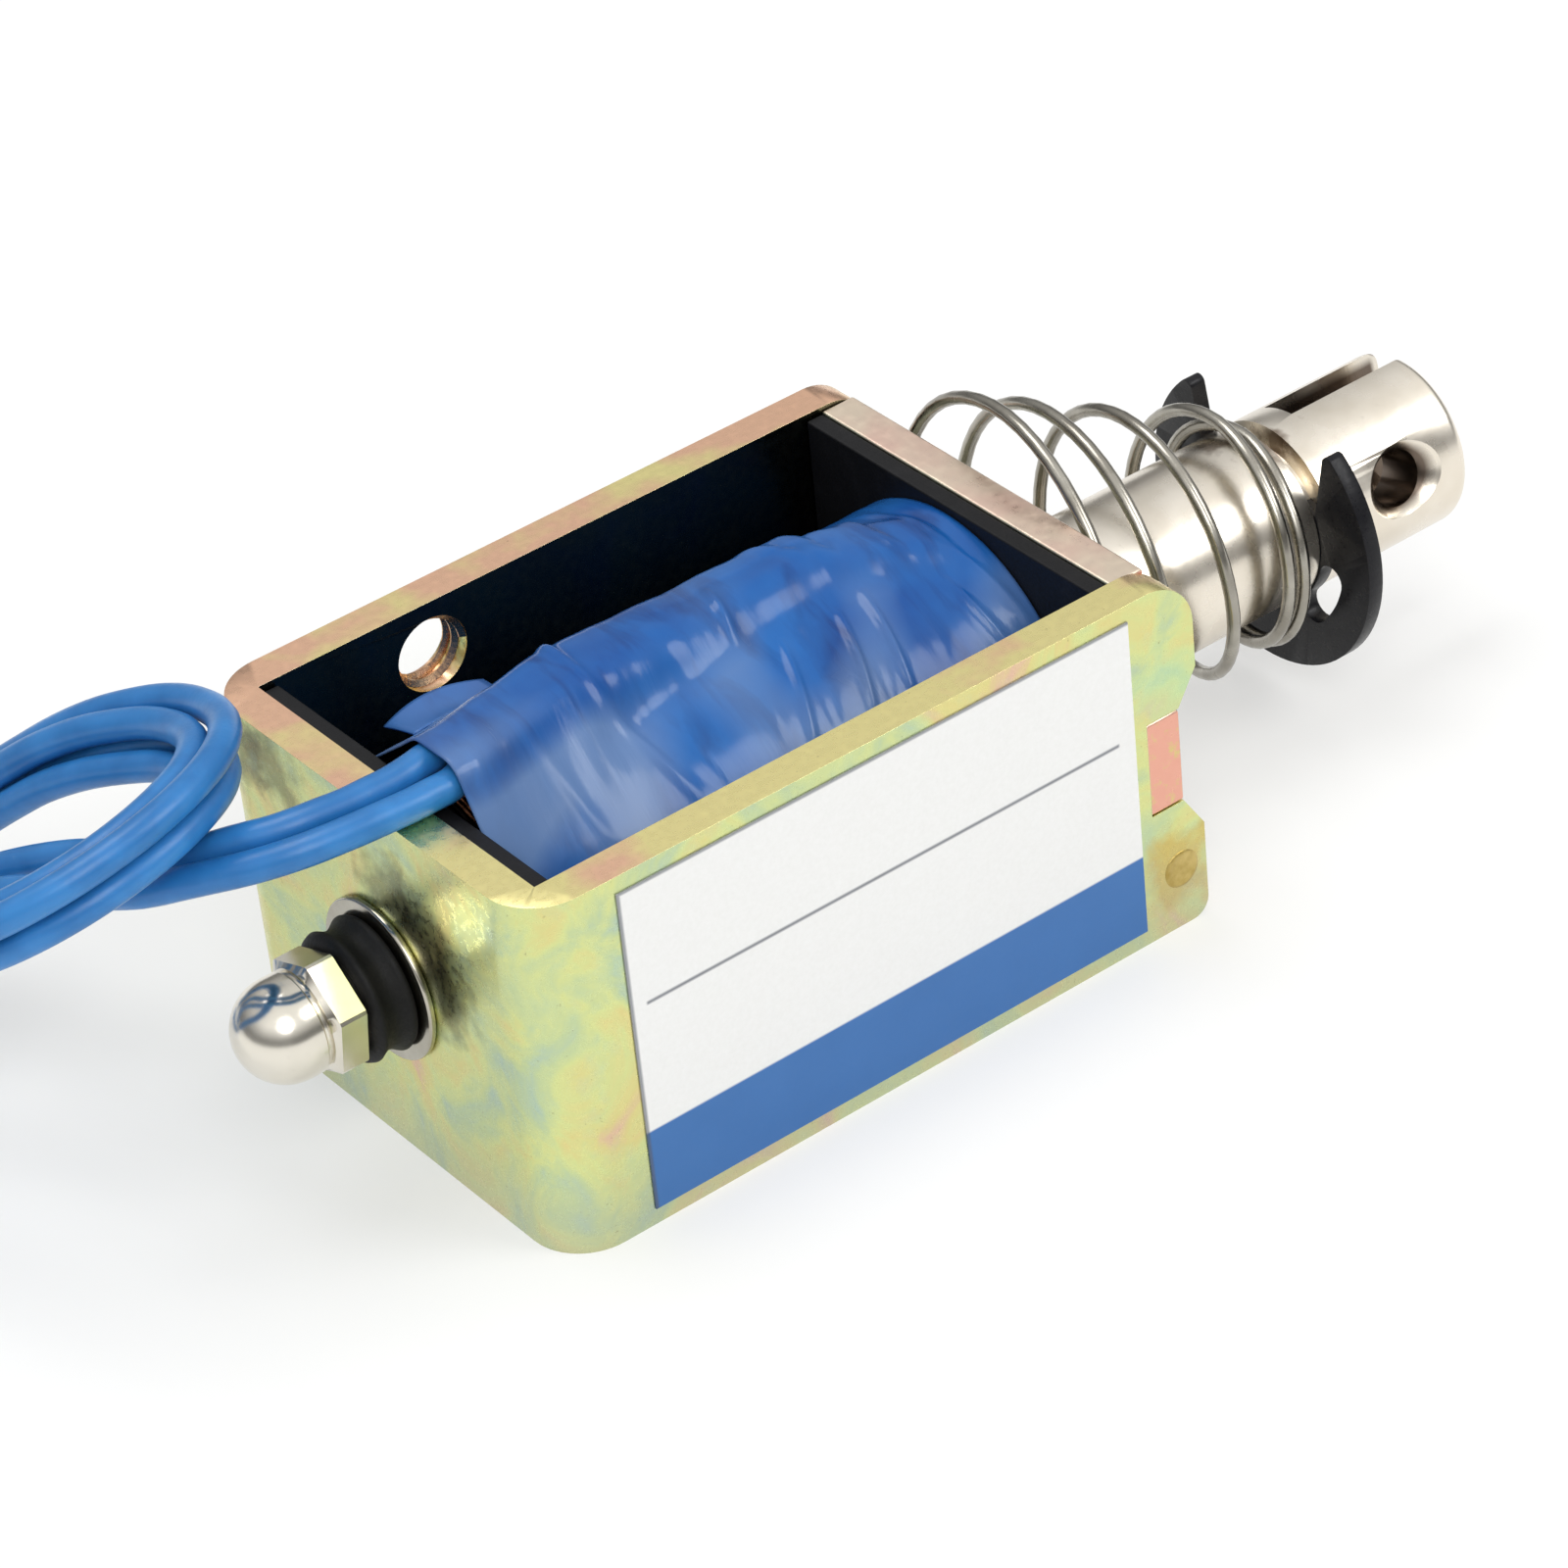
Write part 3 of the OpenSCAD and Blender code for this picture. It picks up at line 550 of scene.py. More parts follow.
def label_paper():
    """White printed film: a thin ruled line, a thin dark edge of dirt and painted shadow, and a
    blue band below.
    """
    paint = Paint("label_paper", Specular_IOR_Level=0.4)
    low, high = (Vector(corner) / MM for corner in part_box("rating_label"))
    where = paint.place()
    x, z = paint.part(where, 0), paint.part(where, 2)
    soft = 0.06

    def strip(value, start, end):
        """1 between start and end, with soft ends, and 0 outside them."""
        inside = paint.ramp(value, start - soft, start + soft)
        return paint.math("SUBTRACT", inside, paint.ramp(value, end - soft, end + soft))

    fibre = paint.noise(4, 4, 0.6)
    band_top = low.z + 4.5
    rule_z = low.z + 11.6
    rule_half = 0.09
    white = paint.mix(paint.ramp(fibre, 0.3, 0.7), (0.735, 0.735, 0.72), (0.765, 0.765, 0.755))
    blue = paint.mix(paint.noise(0.3), (0.028, 0.125, 0.35), (0.038, 0.150, 0.40))
    ink = (0.06, 0.07, 0.10)
    ruled = paint.math("MULTIPLY", strip(z, rule_z - rule_half, rule_z + rule_half),
                       strip(x, low.x + 0.9, high.x - 1))
    # The left and top edges: dirt on the adhesive and a slight painted shadow.
    edge = paint.math("MAXIMUM", paint.ramp(x, low.x + 0.22, low.x + 0.1),
                      paint.ramp(z, high.z - 0.2, high.z - 0.08))
    face = paint.mix(paint.ramp(z, band_top + soft, band_top - soft), white, blue)
    face = paint.mix(paint.math("MULTIPLY", ruled, 0.8), face, ink)
    return paint.done(
        Base_Color=paint.mix(paint.math("MULTIPLY", edge, 0.7), face, ink),
        Roughness=paint.ramp(fibre, 0.3, 0.7, 0.34, 0.46),
        Normal=paint.bump(paint.noise(0.35, 3), 0.3, 0.08))


def tie_plastic():
    """Milky nylon."""
    paint = Paint("tie_plastic", Subsurface_Weight=0.3, Subsurface_Scale=0.001,
                  Subsurface_Radius=(1.0, 0.9, 0.8))
    grain = paint.noise(3, 4, 0.6)
    return paint.done(
        Base_Color=paint.mix(grain, (0.74, 0.73, 0.68), (0.84, 0.83, 0.79)),
        Roughness=paint.ramp(grain, 0.3, 0.7, 0.35, 0.5),
        Normal=paint.bump(grain, 0.3, 0.03))


def clear_film():
    """Amber insulating film."""
    paint = Paint("film", Specular_IOR_Level=0.6)
    cloud = paint.noise(0.5)
    return paint.done(
        Base_Color=paint.mix(cloud, (0.42, 0.34, 0.18), (0.52, 0.44, 0.26)),
        Roughness=paint.ramp(cloud, 0.3, 0.7, 0.2, 0.35),
        Normal=paint.bump(cloud, 0.2, 0.05))


MATERIALS = {
    "zinc_steel": zinc_steel(),
    "plate_steel": plate_steel(),
    "nickel": turned_metal("nickel", (0.70, 0.66, 0.57), (0.80, 0.76, 0.67), 0.14),
    "plunger_nickel": plunger_nickel(),
    "core_steel": turned_metal("core_steel", (0.40, 0.37, 0.30), (0.54, 0.51, 0.44), 0.14),
    "spring_steel": spring_steel(),
    "black_steel": dark_finish("black_steel", (0.006, 0.006, 0.008), (0.022, 0.022, 0.024),
                               0.24, 5, 0.012),
    "brass": plain_metal("brass", (0.62, 0.44, 0.18), (0.74, 0.56, 0.28), 0.22),
    "thread": plain_metal("cut_thread", (0.50, 0.26, 0.15), (0.66, 0.44, 0.24), 0.2),
    "stake_gold": plain_metal("stake_gold", (0.42, 0.30, 0.08), (0.62, 0.48, 0.18), 0.3),
    "copper": copper_winding(),
    "black_nylon": dark_finish("black_nylon", (0.006, 0.006, 0.007), (0.016, 0.016, 0.018),
                               0.42, 5, 0.03),
    "film": clear_film(),
    "blue_tape": blue_tape(),
    "black_rubber": dark_finish("black_rubber", (0.005, 0.005, 0.005), (0.020, 0.019, 0.018),
                                0.5, 6, 0.05),
    "label_paper": label_paper(),
    "blue_pvc": blue_pvc(),
    "tie_plastic": tie_plastic(),
    "tinned_copper": plain_metal("tinned_copper", (0.62, 0.60, 0.56), (0.78, 0.76, 0.72), 0.3),
}


def camera():
    """A long lens that looks down on the dome nut's end and the label."""
    azimuth, elevation, roll = (math.radians(v) for v in (VIEW_AZIMUTH, VIEW_ELEVATION,
                                                          VIEW_ROLL))
    back = Vector((math.sin(azimuth) * math.cos(elevation),
                   -math.cos(azimuth) * math.cos(elevation), math.sin(elevation)))
    right = Vector((0, 0, 1)).cross(back).normalized()
    up = back.cross(right)
    right, up = (math.cos(roll) * right + math.sin(roll) * up,
                 math.cos(roll) * up - math.sin(roll) * right)
    place = at(*VIEW_TARGET) + MM * (VIEW_DISTANCE * back - VIEW_OFFSET[0] * right
                                     - VIEW_OFFSET[1] * up)
    data = bpy.data.cameras.new("camera")
    data.lens = VIEW_LENS
    data.sensor_width = 36
    data.clip_start = 0.01
    data.clip_end = 20
    made = bpy.data.objects.new("camera", data)
    made.matrix_world = Matrix((right, up, back)).transposed().to_4x4()
    made.location = place
    bpy.context.scene.collection.objects.link(made)
    bpy.context.scene.camera = made


def hank_point(a, b, height):
    """A place in the hank: along its run from the upper fold, across it and off its plane."""
    slope = Matrix.Rotation(math.radians(HANK_HEADING), 3, "Z") @ Matrix.Rotation(
        math.radians(HANK_DIP), 3, "Y")
    return at(*HANK_PLACE) + slope @ (MM * Vector((a, b, height)))


def fold(centre, radius, start, end, height, steps=12):
    """Points of a round fold, its angles in degrees from +a towards +b."""
    turns = (math.radians(start + (end - start) * i / steps) for i in range(steps + 1))
    return [(centre + radius * math.cos(t), radius * math.sin(t), height) for t in turns]


def straight(start, end, b_start, b_end, height, steps=5):
    """Points between two folds, easing from one distance off the hank's middle to another."""
    shares = [(i + 1) / (steps + 1) for i in range(steps)]
    ease = [s * s * (3 - 2 * s) for s in shares]
    return [(start + (end - start) * s, b_start + (b_end - b_start) * e, height)
            for s, e in zip(shares, ease)]


def sprung(points, fold_reach):
    """The hank's far side, lifted off its plane between its upper fold's end and its tie."""
    lifted = []
    for a, b, height in points:
        share = min((a + fold_reach) / (HANK_TIED + fold_reach), 1) if b < 0 else 0
        lifted.append((a, b, height + HANK_RISE * math.sin(math.pi * share) ** 2))
    return lifted


def hank_turns(entry, layer, upper_folds):
    """Turns that spiral outward in one layer of the hank, up to its lower end."""
    lower = FIRST_LOWER_FOLD
    coil = entry + fold(HANK_RUN, lower, 90, -90, layer)
    for upper in upper_folds:
        coil += sprung(straight(HANK_RUN, 0, -lower, -upper, layer, 7), upper)
        coil += sprung(fold(0, upper, -90, -270, layer), upper)
        lower += FOLD_STEP
        coil += straight(0, HANK_RUN, upper, lower, layer)
        if upper == upper_folds[-1]:
            coil += fold(HANK_RUN, lower, 90, 0, layer, 7)
        else:
            coil += fold(HANK_RUN, lower, 90, -90, layer)
    return coil


def lead_line_a():
    """Lead a: through the middle of the hank, then out in its lower layer."""
    return ([at(*p) for p in LEAD_ROUTE_A]
            + [hank_point(*p) for p in hank_turns(ENTRY_A, LAYER_A, UPPER_FOLDS_A)]
            + [at(*p) for p in LEAD_END_A])


def lead_line_b():
    """Lead b: beside lead a through the middle, then in the hank's upper layer."""
    return ([at(*p) for p in LEAD_ROUTE_B]
            + [hank_point(*p) for p in hank_turns(ENTRY_B, LAYER_B, UPPER_FOLDS_B)]
            + [at(*p) for p in LEAD_END_B])


def lead(name, points, replaced):
    """A lead's insulation as a round curve along its route."""
    line = smooth_line(points, 5)
    curve = bpy.data.curves.new(name, "CURVE")
    curve.dimensions = "3D"
    curve.bevel_depth = LEAD_R * MM
    curve.bevel_resolution = 5
    curve.use_fill_caps = True
    spline = curve.splines.new("POLY")
    spline.points.add(len(line) - 1)
    for point, place in zip(spline.points, line):
        point.co = (*place, 1)
    spline.use_smooth = True
    piece = new_object(name, curve, MATERIALS["blue_pvc"])
    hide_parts(*replaced)


def leads():
    """Both leads."""
    lead("lead_wire_a", lead_line_a(), replaced=["lead_a", "lead_end_a"])
    lead("lead_wire_b", lead_line_b(),
         replaced=["lead_b", "lead_end_b", "lead_hank"])


def dress(name, slot, bevel=0.0):
    """A carried CAD node: its material, and a small round on its edges."""
    piece = NODES[name]
    if not piece.material_slots:
        piece.data.materials.append(MATERIALS[slot])
    for place in piece.material_slots:
        place.material = MATERIALS[slot]
    if bevel:
        weld = piece.modifiers.new("weld", "WELD")
        weld.merge_threshold = 0.001 * MM
        edge = piece.modifiers.new("edge", "BEVEL")
        edge.width = bevel * MM
        edge.segments = 2
        edge.limit_method = "ANGLE"
        edge.angle_limit = math.radians(35)
        edge.miter_outer = "MITER_ARC"
        piece.data.polygons.foreach_set("use_smooth", [True] * len(piece.data.polygons))
        piece.modifiers.new("normals", "WEIGHTED_NORMAL")


def carried_nodes():
    """Each CAD node that shows as it is: its material, and its round in millimetres."""
    dress("frame_yoke", "zinc_steel", 0.16)
    dress("front_plate", "plate_steel", 0.14)
    dress("bobbin", "black_nylon", 0.12)
    dress("barrel_film", "film")
    dress("guide_tube", "brass")
    dress("fixed_core", "core_steel", 0.12)
    dress("core_shim", "brass")
    dress("coil_winding", "copper")
    for end in "ab":
        dress("winding_tail_" + end, "copper")
        dress("splice_sleeve_" + end, "black_rubber")
        dress("lead_tip_" + end, "tinned_copper", 0.1)
    dress("plunger", "plunger_nickel", 0.1)
    dress("push_rod", "nickel")
    dress("e_clip", "black_steel", 0.12)
    dress("rating_label", "label_paper")
    dress("hank_tie", "tie_plastic", 0.25)


def hull_radius(hull, way):
    """How far a convex outline reaches from its middle in one direction."""
    best = math.inf
    for p, q in zip(hull, hull[1:] + hull[:1]):
        normal = Vector((q.y - p.y, p.x - q.x)).normalized()
        slope = normal.dot(way)
        if slope > 1e-6:
            best = min(best, normal.dot(p) / slope)
    return best


def ridge_at(x):
    """The two sleeves at x: their two Y, their height and their radius."""
    return [between([(row[0], row[i]) for row in RIDGE], x) for i in (1, 2, 3, 4)]


def wrap_outline(x):
    """The tape's outline at x if it were pulled straight from the sleeves to the winding."""
    y_a, y_b, height, radius = ridge_at(x)
    rounds = [(0, 0, TAPE_R, 120), (y_a, height - AXIS_Z, radius, 24),
              (y_b, height - AXIS_Z, radius, 24)]
    points = []
    for y, z, r, sides in rounds:
        turns = [2 * math.pi * k / sides for k in range(sides)]
        points += [Vector((y + r * math.cos(a), z + r * math.sin(a))) for a in turns]
    hull = [points[i] for i in geometry.convex_hull_2d(points)]
    area = sum(p.x * q.y - p.y * q.x for p, q in zip(hull, hull[1:] + hull[:1]))
    return hull if area > 0 else hull[::-1]


def snug_radius(x, arc):
    """The tape pressed down on both sides of the sleeves."""
    y_a, y_b, height, radius = ridge_at(x)
    lean, soft_edge = 0.92, 0.35
    crest = max(height + radius - AXIS_Z - TAPE_R, 0)
    away = (arc - lean * (y_a + y_b) / 2) / (abs(y_a - y_b) / 2 + radius + soft_edge)
    return TAPE_R + crest * math.exp(-away ** 4)


def pull(x, arc):
    """How tightly the tape is pulled straight: 1 near the leads' exit, less further on."""
    y_a, y_b = ridge_at(x)[:2]
    near_side = arc < (y_a + y_b) / 2
    end, rest = (10.5, 0.12) if near_side else (7.5, 0.45)
    fade = 3.5
    share = min(max((end + fade - x) / fade, 0), 1)
    return rest + (1 - rest) * share * share * (3 - 2 * share)


# Folds in the tape's top: two ends as X and the arc from the top towards +Y, height, half width.
TAPE_FOLDS = [
    (12.4, 3.6, 12.2, -0.6, 0.26, 0.30),
    (12.2, -0.6, 14.2, -7.5, 0.16, 0.35),
    (12.9, -1.2, 15.6, -7.8, -0.16, 0.45),
    (8.0, -2.5, 9.2, -7.5, 0.12, 0.40),
    (16.5, 0.2, 18.0, -3.0, -0.14, 0.60),
    (21.2, 1.2, 20.6, -1.6, 0.24, 0.26),
    (20.6, -1.6, 19.6, -6.8, 0.14, 0.50),
    (22.6, -2.6, 20.8, -7.8, 0.22, 0.24),
    (23.6, -2.2, 22.4, -7.4, -0.18, 0.35),
    (26.0, -2.6, 24.4, -7.8, 0.30, 0.22),
    (26.9, -2.4, 25.6, -7.8, -0.20, 0.28),
    (27.8, -2.2, 26.8, -7.6, 0.26, 0.22),
    (29.4, -2.0, 29.2, -7.2, -0.16, 0.40),
    (31.6, -3.6, 32.6, -8.2, 0.24, 0.24),
    (33.2, -2.6, 34.2, -7.6, 0.18, 0.28),
    (27.6, 4.6, 28.4, -0.6, -0.18, 0.40),
    (29.6, 4.2, 30.8, -1.8, 0.18, 0.30),
    (32.4, 3.8, 33.2, -1.4, 0.16, 0.28),
    (24.4, 3.4, 26.6, 0.6, 0.16, 0.35),
    (18.0, 5.4, 17.0, 8.5, 0.12, 0.50),
    (24.0, 5.6, 24.6, 9.0, 0.12, 0.50),
    (6.6, 2.6, 8.6, 6.4, 0.16, 0.40),
]


def fold_height(x, arc):
    """How far the folds lift the tape at a place on it."""
    height = 0
    for x0, s0, x1, s1, lift, half in TAPE_FOLDS:
        line = Vector((x1 - x0, s1 - s0))
        share = (Vector((x - x0, arc - s0)).dot(line)) / line.length_squared
        kept = min(max(share, 0), 1)
        gap = Vector((x - x0 - kept * line.x, arc - s0 - kept * line.y)).length
        fade = 1 - 0.6 * (2 * kept - 1) ** 2
        height += lift * fade * math.exp(-(gap / half) ** 2)
    return height


def looseness_and_sheen(x, arc, gap):
    """How far the film hangs free of what is under it, as 0 where it lies snug, with a painted
    reflection added on the near flank.
    """
    y_a, y_b = ridge_at(x)[:2]
    # Painted reflection: the near flank below the sleeves made paler.
    flank = min(max((min(y_a, y_b) - FLANK_START - arc) / FLANK_FADE, 0), 1)
    cloud = noise.noise(Vector((x * 0.22, arc * 0.16, 5)))
    wide_gap, most = 0.6, 0.85
    free = gap / wide_gap + flank * (0.35 + 1.1 * cloud) + 0.3 * cloud
    return most * min(max(free, 0), 1)


def tape_surface(x, angle, way, hull):
    """The tape's radius in one direction at x, and how far its film hangs free there, painted
    reflection included.
    """
    arc = angle * TAPE_R
    tight = pull(x, arc)
    snug = snug_radius(x, arc)
    radius = tight * hull_radius(hull, way) + (1 - tight) * snug
    free = looseness_and_sheen(x, arc, radius - snug)
    raised = min(max((radius - TAPE_R) / 0.5, 0), 1)
    crinkle = noise.noise(Vector((x * 0.5, arc * 0.2, 3))) * (0.05 + 0.06 * raised)
    crinkle += noise.noise(Vector((x * 1.3, arc * 0.35, 9))) * 0.025
    top = max(0.0, math.cos(angle)) ** 0.5
    radius += top * (crinkle + fold_height(x, arc))
    deepest = 0.05
    return max(radius, TAPE_R - deepest), free


def tape_angles():
    """Directions round the tape from its top, close together where its folds show."""
    fine, coarse = 150, 40
    spread = math.radians(80)
    angles = [-spread + 2 * spread * i / fine for i in range(fine)]
    return angles + [spread + (2 * math.pi - 2 * spread) * i / coarse for i in range(coarse)]


def film_piece(name, points, faces, slack_and_sheen, thickness):
    """A piece of tape. Its material reads how far the film hangs free at each point, painted
    reflection included.
    """
    mesh = new_mesh(name, points, faces)
    mesh.attributes.new("slack_and_sheen", "FLOAT", "POINT").data.foreach_set("value", slack_and_sheen)
    piece = new_object(name, mesh, MATERIALS["blue_tape"])
    shell = piece.modifiers.new("thickness", "SOLIDIFY")
    shell.thickness = thickness * MM
    shell.offset = -1
    return piece


def tape_wrap():
    """Blue tape round the winding and, on top, over the two spliced leads."""
    columns = 190
    angles = tape_angles()
    points, slack_and_sheen = [], []
    for i in range(columns + 1):
        x = TAPE_START + (TAPE_END - TAPE_START) * i / columns
        hull = wrap_outline(x)
        for angle in angles:
            way = Vector((math.sin(angle), math.cos(angle)))
            radius, free = tape_surface(x, angle, way, hull)
            points.append(at(x, radius * way.x, AXIS_Z + radius * way.y))
            slack_and_sheen.append(free)
    faces = grid_faces(columns + 1, len(angles), flip=True)
    piece = film_piece("tape_wrap", points, faces, slack_and_sheen, 0.12)
    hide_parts("coil_tape", "lead_tape")


def tape_flap():
    """A loose corner of the tape's first turn, curling up beside the leads."""
    steps = 14
    start, length = 5.6, 5.2
    inner_arc, width, taper = 3.4, 2.6, 1.0
    clear, root, curl_height, ripple = 0.55, 0.05, 1.1, 0.1
    slack_and_sheen = 0.3
    points = []
    for i in range(steps + 1):
        along = i / steps
        x = start + length * along
        for k in range(steps + 1):
            across = k / steps
            arc = inner_arc + (width - taper * along) * across
            curl = root + curl_height * across ** 2 * (0.35 + 0.65 * math.sin(math.pi * along))
            angle = arc / TAPE_R
            radius = TAPE_R + clear + curl + ripple * math.sin(5 * along + 2 * across)
            points.append(at(x, radius * math.sin(angle), AXIS_Z + radius * math.cos(angle)))
    faces = grid_faces(steps + 1, steps + 1, ring=False, flip=True)
    film_piece("tape_flap", points, faces, [slack_and_sheen] * len(points), 0.1)


def spring_point(t):
    """The middle of the wire after t turns, kept between the plate and the clip."""
    angle = math.radians(90 + 360 * t)
    share = min(max(t / (len(TURN_TOPS) - 1), 0), 1)
    radius = between(list(enumerate(TURN_RADII)), t)
    x = between(list(enumerate(TURN_TOPS)), t) + min(t, 0) * FIRST_PITCH
    lean = radius * (SPRING_LEAN[0] * math.cos(angle) + SPRING_LEAN[1] * math.sin(angle))
    shift = [a + (b - a) * share for a, b in zip(SPRING_SHIFT_PLATE, SPRING_SHIFT_CLIP)]
    seat = WIRE_R + SEAT_GAP
    left = SPRING_START + SPRING_TURNS - t
    closed = 2 * WIRE_R * min(left, CLOSED_TURNS)
    x = min(max(x + lean, PLATE_FACE + seat), CLIP_REAR - seat - closed)
    return at(x, shift[0] + radius * math.cos(angle), AXIS_Z + shift[1]
              + radius * math.sin(angle))


def spring():
    """The conical return spring, which the clip squeezes against the plate."""
    steps = 48
    line = [spring_point(SPRING_START + i / steps) for i in range(int(SPRING_TURNS * steps) + 1)]
    piece = new_object("spring_coil", tube_mesh("spring_coil", line, WIRE_R * MM, 16),
                       MATERIALS["spring_steel"])
    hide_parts("return_spring")
    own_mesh(piece)


def turned(name, profile, place, sides=64):
    """A closed ring turned about an axis along X: (x, radius) pairs from place."""
    points = [place + MM * Vector((x, r * math.cos(2 * math.pi * k / sides),
                                   r * math.sin(2 * math.pi * k / sides)))
              for x, r in profile for k in range(sides)]
    return new_mesh(name, points, grid_faces(len(profile), sides, closed=True))


def rubber_bush():
    """The washer under the nut: soft rubber, pinched between the nut and the core's head."""
    low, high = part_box("rubber_washer")
    thick = (high[0] - low[0]) / MM
    outer = (high[2] - low[2]) / 2 / MM
    bore = 1.54
    nut_lip, head_lip = 0.35, 0.25
    nut_inset, waist = 0.12, 0.32
    profile = [(0.0, bore), (0.0, outer - 0.5), (0.12, outer - 0.22), (nut_lip, outer - nut_inset)]
    steps = 8
    for i in range(1, steps):
        share = i / steps
        inset = nut_inset * (1 - share) + waist * math.sin(math.pi * share)
        profile.append((nut_lip + (thick - nut_lip - head_lip) * share, outer - inset))
    profile += [(thick - head_lip, outer), (thick - 0.08, outer - 0.08), (thick, outer - 0.3),
                (thick, bore)]
    mesh = turned("rubber_bush", profile, Vector((low[0], 0, AXIS_Z * MM)))
    piece = new_object("rubber_bush", mesh, MATERIALS["black_rubber"], "plunger_set")
    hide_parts("rubber_washer")


def stake_mark():
    """The round mark that a punch left beside the plate's tab, on the near wall."""
    sides = 40
    middle_x, middle_z = PLATE_FACE - 0.4, 3.4
    rings = [(1.05, 0.02), (1.0, -0.05), (0.86, -0.07), (0.7, -0.03), (0.4, -0.02), (0.02, -0.03)]
    points = []
    for radius, inward in rings:
        for k in range(sides):
            a = 2 * math.pi * k / sides
            points.append(at(middle_x + radius * math.cos(a), inward - HALF_WIDTH,
                             middle_z + radius * math.sin(a)))
    faces = grid_faces(len(rings), sides) + [row_face(len(rings) - 1, sides)]
    piece = new_object("stake_mark", new_mesh("stake_mark", points, faces),
                       MATERIALS["stake_gold"])


def nut_profile():
    """The nut's outline as X behind its front face and the most radius there."""
    corner = NUT_FLATS / 2 / math.cos(math.radians(30))
    face_r = NUT_FLATS / 2 - 0.15
    profile = [(0, NUT_BORE), (0, face_r), (-NUT_CHAMFER, corner),
               (-NUT_HEX + NUT_CHAMFER, corner), (-NUT_HEX, face_r),
               (-NUT_HEX - 0.04, NUT_GROOVE_R), (-NUT_HEX - 0.22, NUT_GROOVE_R),
               (-NUT_HEX - 0.3, NUT_DOME_R - 0.06), (-NUT_HEX - 0.38, NUT_DOME_R),
               (-NUT_HEX - NUT_SKIRT, NUT_DOME_R)]
    steps = 12
    for i in range(1, steps + 1):
        a = math.radians(90 * i / steps)
        profile.append((-NUT_HEX - NUT_SKIRT - NUT_DOME_R * math.sin(a),
                        max(NUT_DOME_R * math.cos(a), 0.02)))
    return profile


def nut_radius(x, limit, angle):
    """The radius in one direction: the hexagon cuts into the profile down to its rear face."""
    off_flat = (math.degrees(angle) - NUT_TURN) % 60 - 30
    hexagon = NUT_FLATS / 2 / math.cos(math.radians(off_flat))
    on_hexagon = limit > NUT_DOME_R or x > -NUT_HEX - 0.01
    return min(limit, hexagon) if on_hexagon else limit


def cap_nut():
    """The dome nut: a hexagon with chamfered corners and a round cap."""
    x_nut = (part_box("dome_nut")[1][0] - X_BACK) / MM
    profile = nut_profile()
    sides = 96
    points = []
    for x, limit in profile:
        for k in range(sides):
            a = 2 * math.pi * k / sides
            radius = nut_radius(x, limit, a)
            points.append(at(x_nut + x, radius * math.cos(a), AXIS_Z + radius * math.sin(a)))
    faces = grid_faces(len(profile), sides, flip=True) + [row_face(len(profile) - 1, sides)]
    mesh = new_mesh("cap_nut", points, faces)
    mesh.set_sharp_from_angle(angle=math.radians(24))
    piece = new_object("cap_nut", mesh, MATERIALS["nickel"], "plunger_set")
    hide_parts("dome_nut")


def threads():
    """The ridge of the M4 thread in each mounting hole."""
    root, crest = HOLE_R - 0.01, HOLE_R - THREAD_DEPTH
    ridge = [(root, -0.3), (crest, -0.05), (crest, 0.05), (root, 0.3)]
    margin = 0.25
    turn_steps = 40
    steps = int((SHEET - 2 * margin) / THREAD_PITCH * turn_steps)
    for name, (x, z) in THREAD_PLACES.items():
        points = []
        for i in range(steps + 1):
            y = HALF_WIDTH - SHEET + margin + i / turn_steps * THREAD_PITCH
            a = 2 * math.pi * i / turn_steps
            points += [at(x + radius * math.cos(a), y + shift * THREAD_PITCH,
                          z + radius * math.sin(a)) for radius, shift in ridge]
        faces = grid_faces(steps + 1, len(ridge))
        faces += [row_face(0, len(ridge), flip=True), row_face(steps, len(ridge))]
        piece = new_object(name, new_mesh(name, points, faces, False), MATERIALS["thread"])


def floor():
    """A plain pale floor that keeps the object's shadow, a little lighter to the camera."""
    half = 1.5
    corners = [(x, y, 0) for x, y in ((-half, -half), (half, -half), (half, half), (-half, half))]
    paint = Paint("floor", Roughness=0.9, Specular_IOR_Level=0.1)
    paint.done(Base_Color=paint.mix(paint.noise(0.02), (0.90, 0.90, 0.89), (0.93, 0.93, 0.925)))
    glow = paint.node("ShaderNodeEmission", {"Color": (0.97, 0.97, 0.965), "Strength": 1.0})
    rays = paint.tree.nodes.new("ShaderNodeLightPath")
    seen = paint.math("MAXIMUM", rays.outputs["Is Camera Ray"], rays.outputs["Is Glossy Ray"])
    seen = paint.math("MAXIMUM", seen, rays.outputs["Is Transmission Ray"])
    glow_share = paint.math("MULTIPLY", seen, 0.45)
    mixed = paint.node("ShaderNodeMixShader", {0: glow_share, 1: paint.shader.outputs[0],
                                               2: glow})
    paint.set(paint.tree.nodes["Material Output"].inputs[0], mixed)
    mesh = new_mesh("floor", corners, [(0, 1, 2, 3)], False)
    new_object("floor", mesh, paint.material, None)


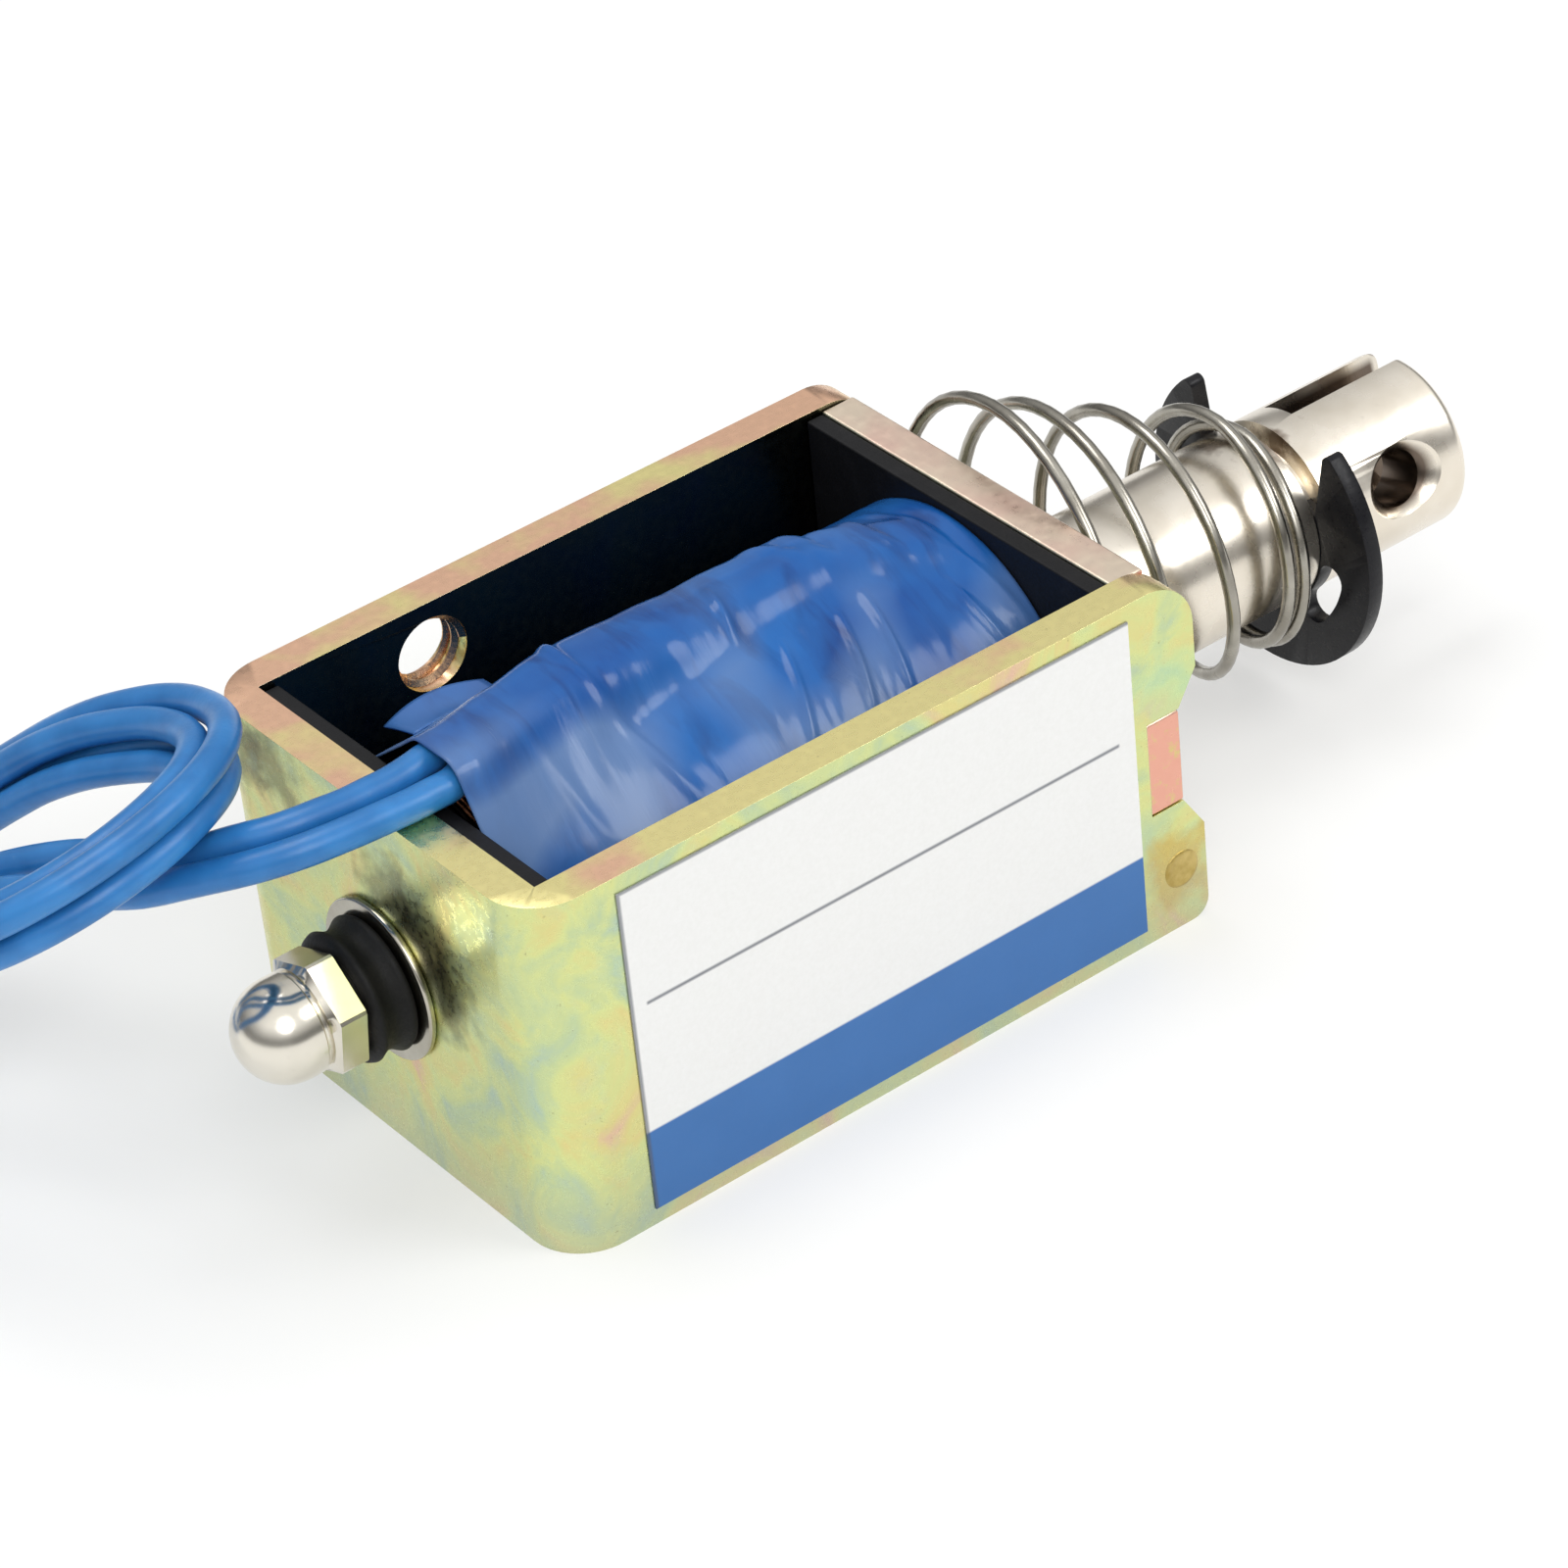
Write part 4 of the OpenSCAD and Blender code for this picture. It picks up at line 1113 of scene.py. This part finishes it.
def lamp(name, place, target, size, power):
    """A round lamp at a place in metres, turned to its target."""
    data = bpy.data.lights.new(name, "AREA")
    data.shape = "DISK"
    data.size = size
    data.energy = power
    made = bpy.data.objects.new(name, data)
    made.location = place
    way = Vector(target) - Vector(place)
    made.rotation_euler = way.to_track_quat("-Z", "Y").to_euler()
    bpy.context.scene.collection.objects.link(made)


def light():
    """Soft white room light with a darker band at the horizon for the metal to mirror."""
    world = bpy.data.worlds.new("studio")
    bpy.context.scene.world = world
    world.use_nodes = True
    tree = world.node_tree
    back = tree.nodes["Background"]
    back.inputs["Color"].default_value = (1, 1, 1, 1)
    rays = tree.nodes.new("ShaderNodeLightPath")
    way = tree.nodes.new("ShaderNodeTexCoord")
    split = tree.nodes.new("ShaderNodeSeparateXYZ")
    tree.links.new(way.outputs["Generated"], split.inputs[0])

    def ranged(value, low, high, start, end):
        """From start to end while value goes from low to high."""
        made = tree.nodes.new("ShaderNodeMapRange")
        for socket, number in (("From Min", low), ("From Max", high), ("To Min", start),
                               ("To Max", end)):
            if isinstance(number, bpy.types.NodeSocket):
                tree.links.new(number, made.inputs[socket])
            else:
                made.inputs[socket].default_value = number
        tree.links.new(value, made.inputs["Value"])
        return made.outputs[0]

    far_sky, near_sky, horizon, soft_light = 0.7, 1.1, 0.22, 0.60
    sky = ranged(split.outputs["Y"], 0.5, -0.2, far_sky, near_sky)
    room = ranged(split.outputs["Z"], 0.2, 0.62, horizon, sky)
    mirrored = ranged(rays.outputs["Is Glossy Ray"], 0, 1, soft_light, room)
    seen = tree.nodes.new("ShaderNodeMath")
    seen.operation = "MAXIMUM"
    tree.links.new(rays.outputs["Is Camera Ray"], seen.inputs[0])
    tree.links.new(rays.outputs["Is Transmission Ray"], seen.inputs[1])
    tree.links.new(ranged(seen.outputs[0], 0, 1, mirrored, 1.0), back.inputs["Strength"])
    middle = (0, 0, 0.01)
    lamp("key", (-0.30, -0.55, 0.60), middle, 0.45, 2.3)
    lamp("side", (0.32, -0.39, 0.45), middle, 0.32, 1.2)
    lamp("top", (-0.10, 0.25, 0.75), middle, 0.45, 2.0)


camera()
leads()
carried_nodes()
tape_wrap()
tape_flap()
spring()
cap_nut()
rubber_bush()
stake_mark()
threads()
floor()
light()
bpy.context.scene.view_settings.view_transform = "Standard"
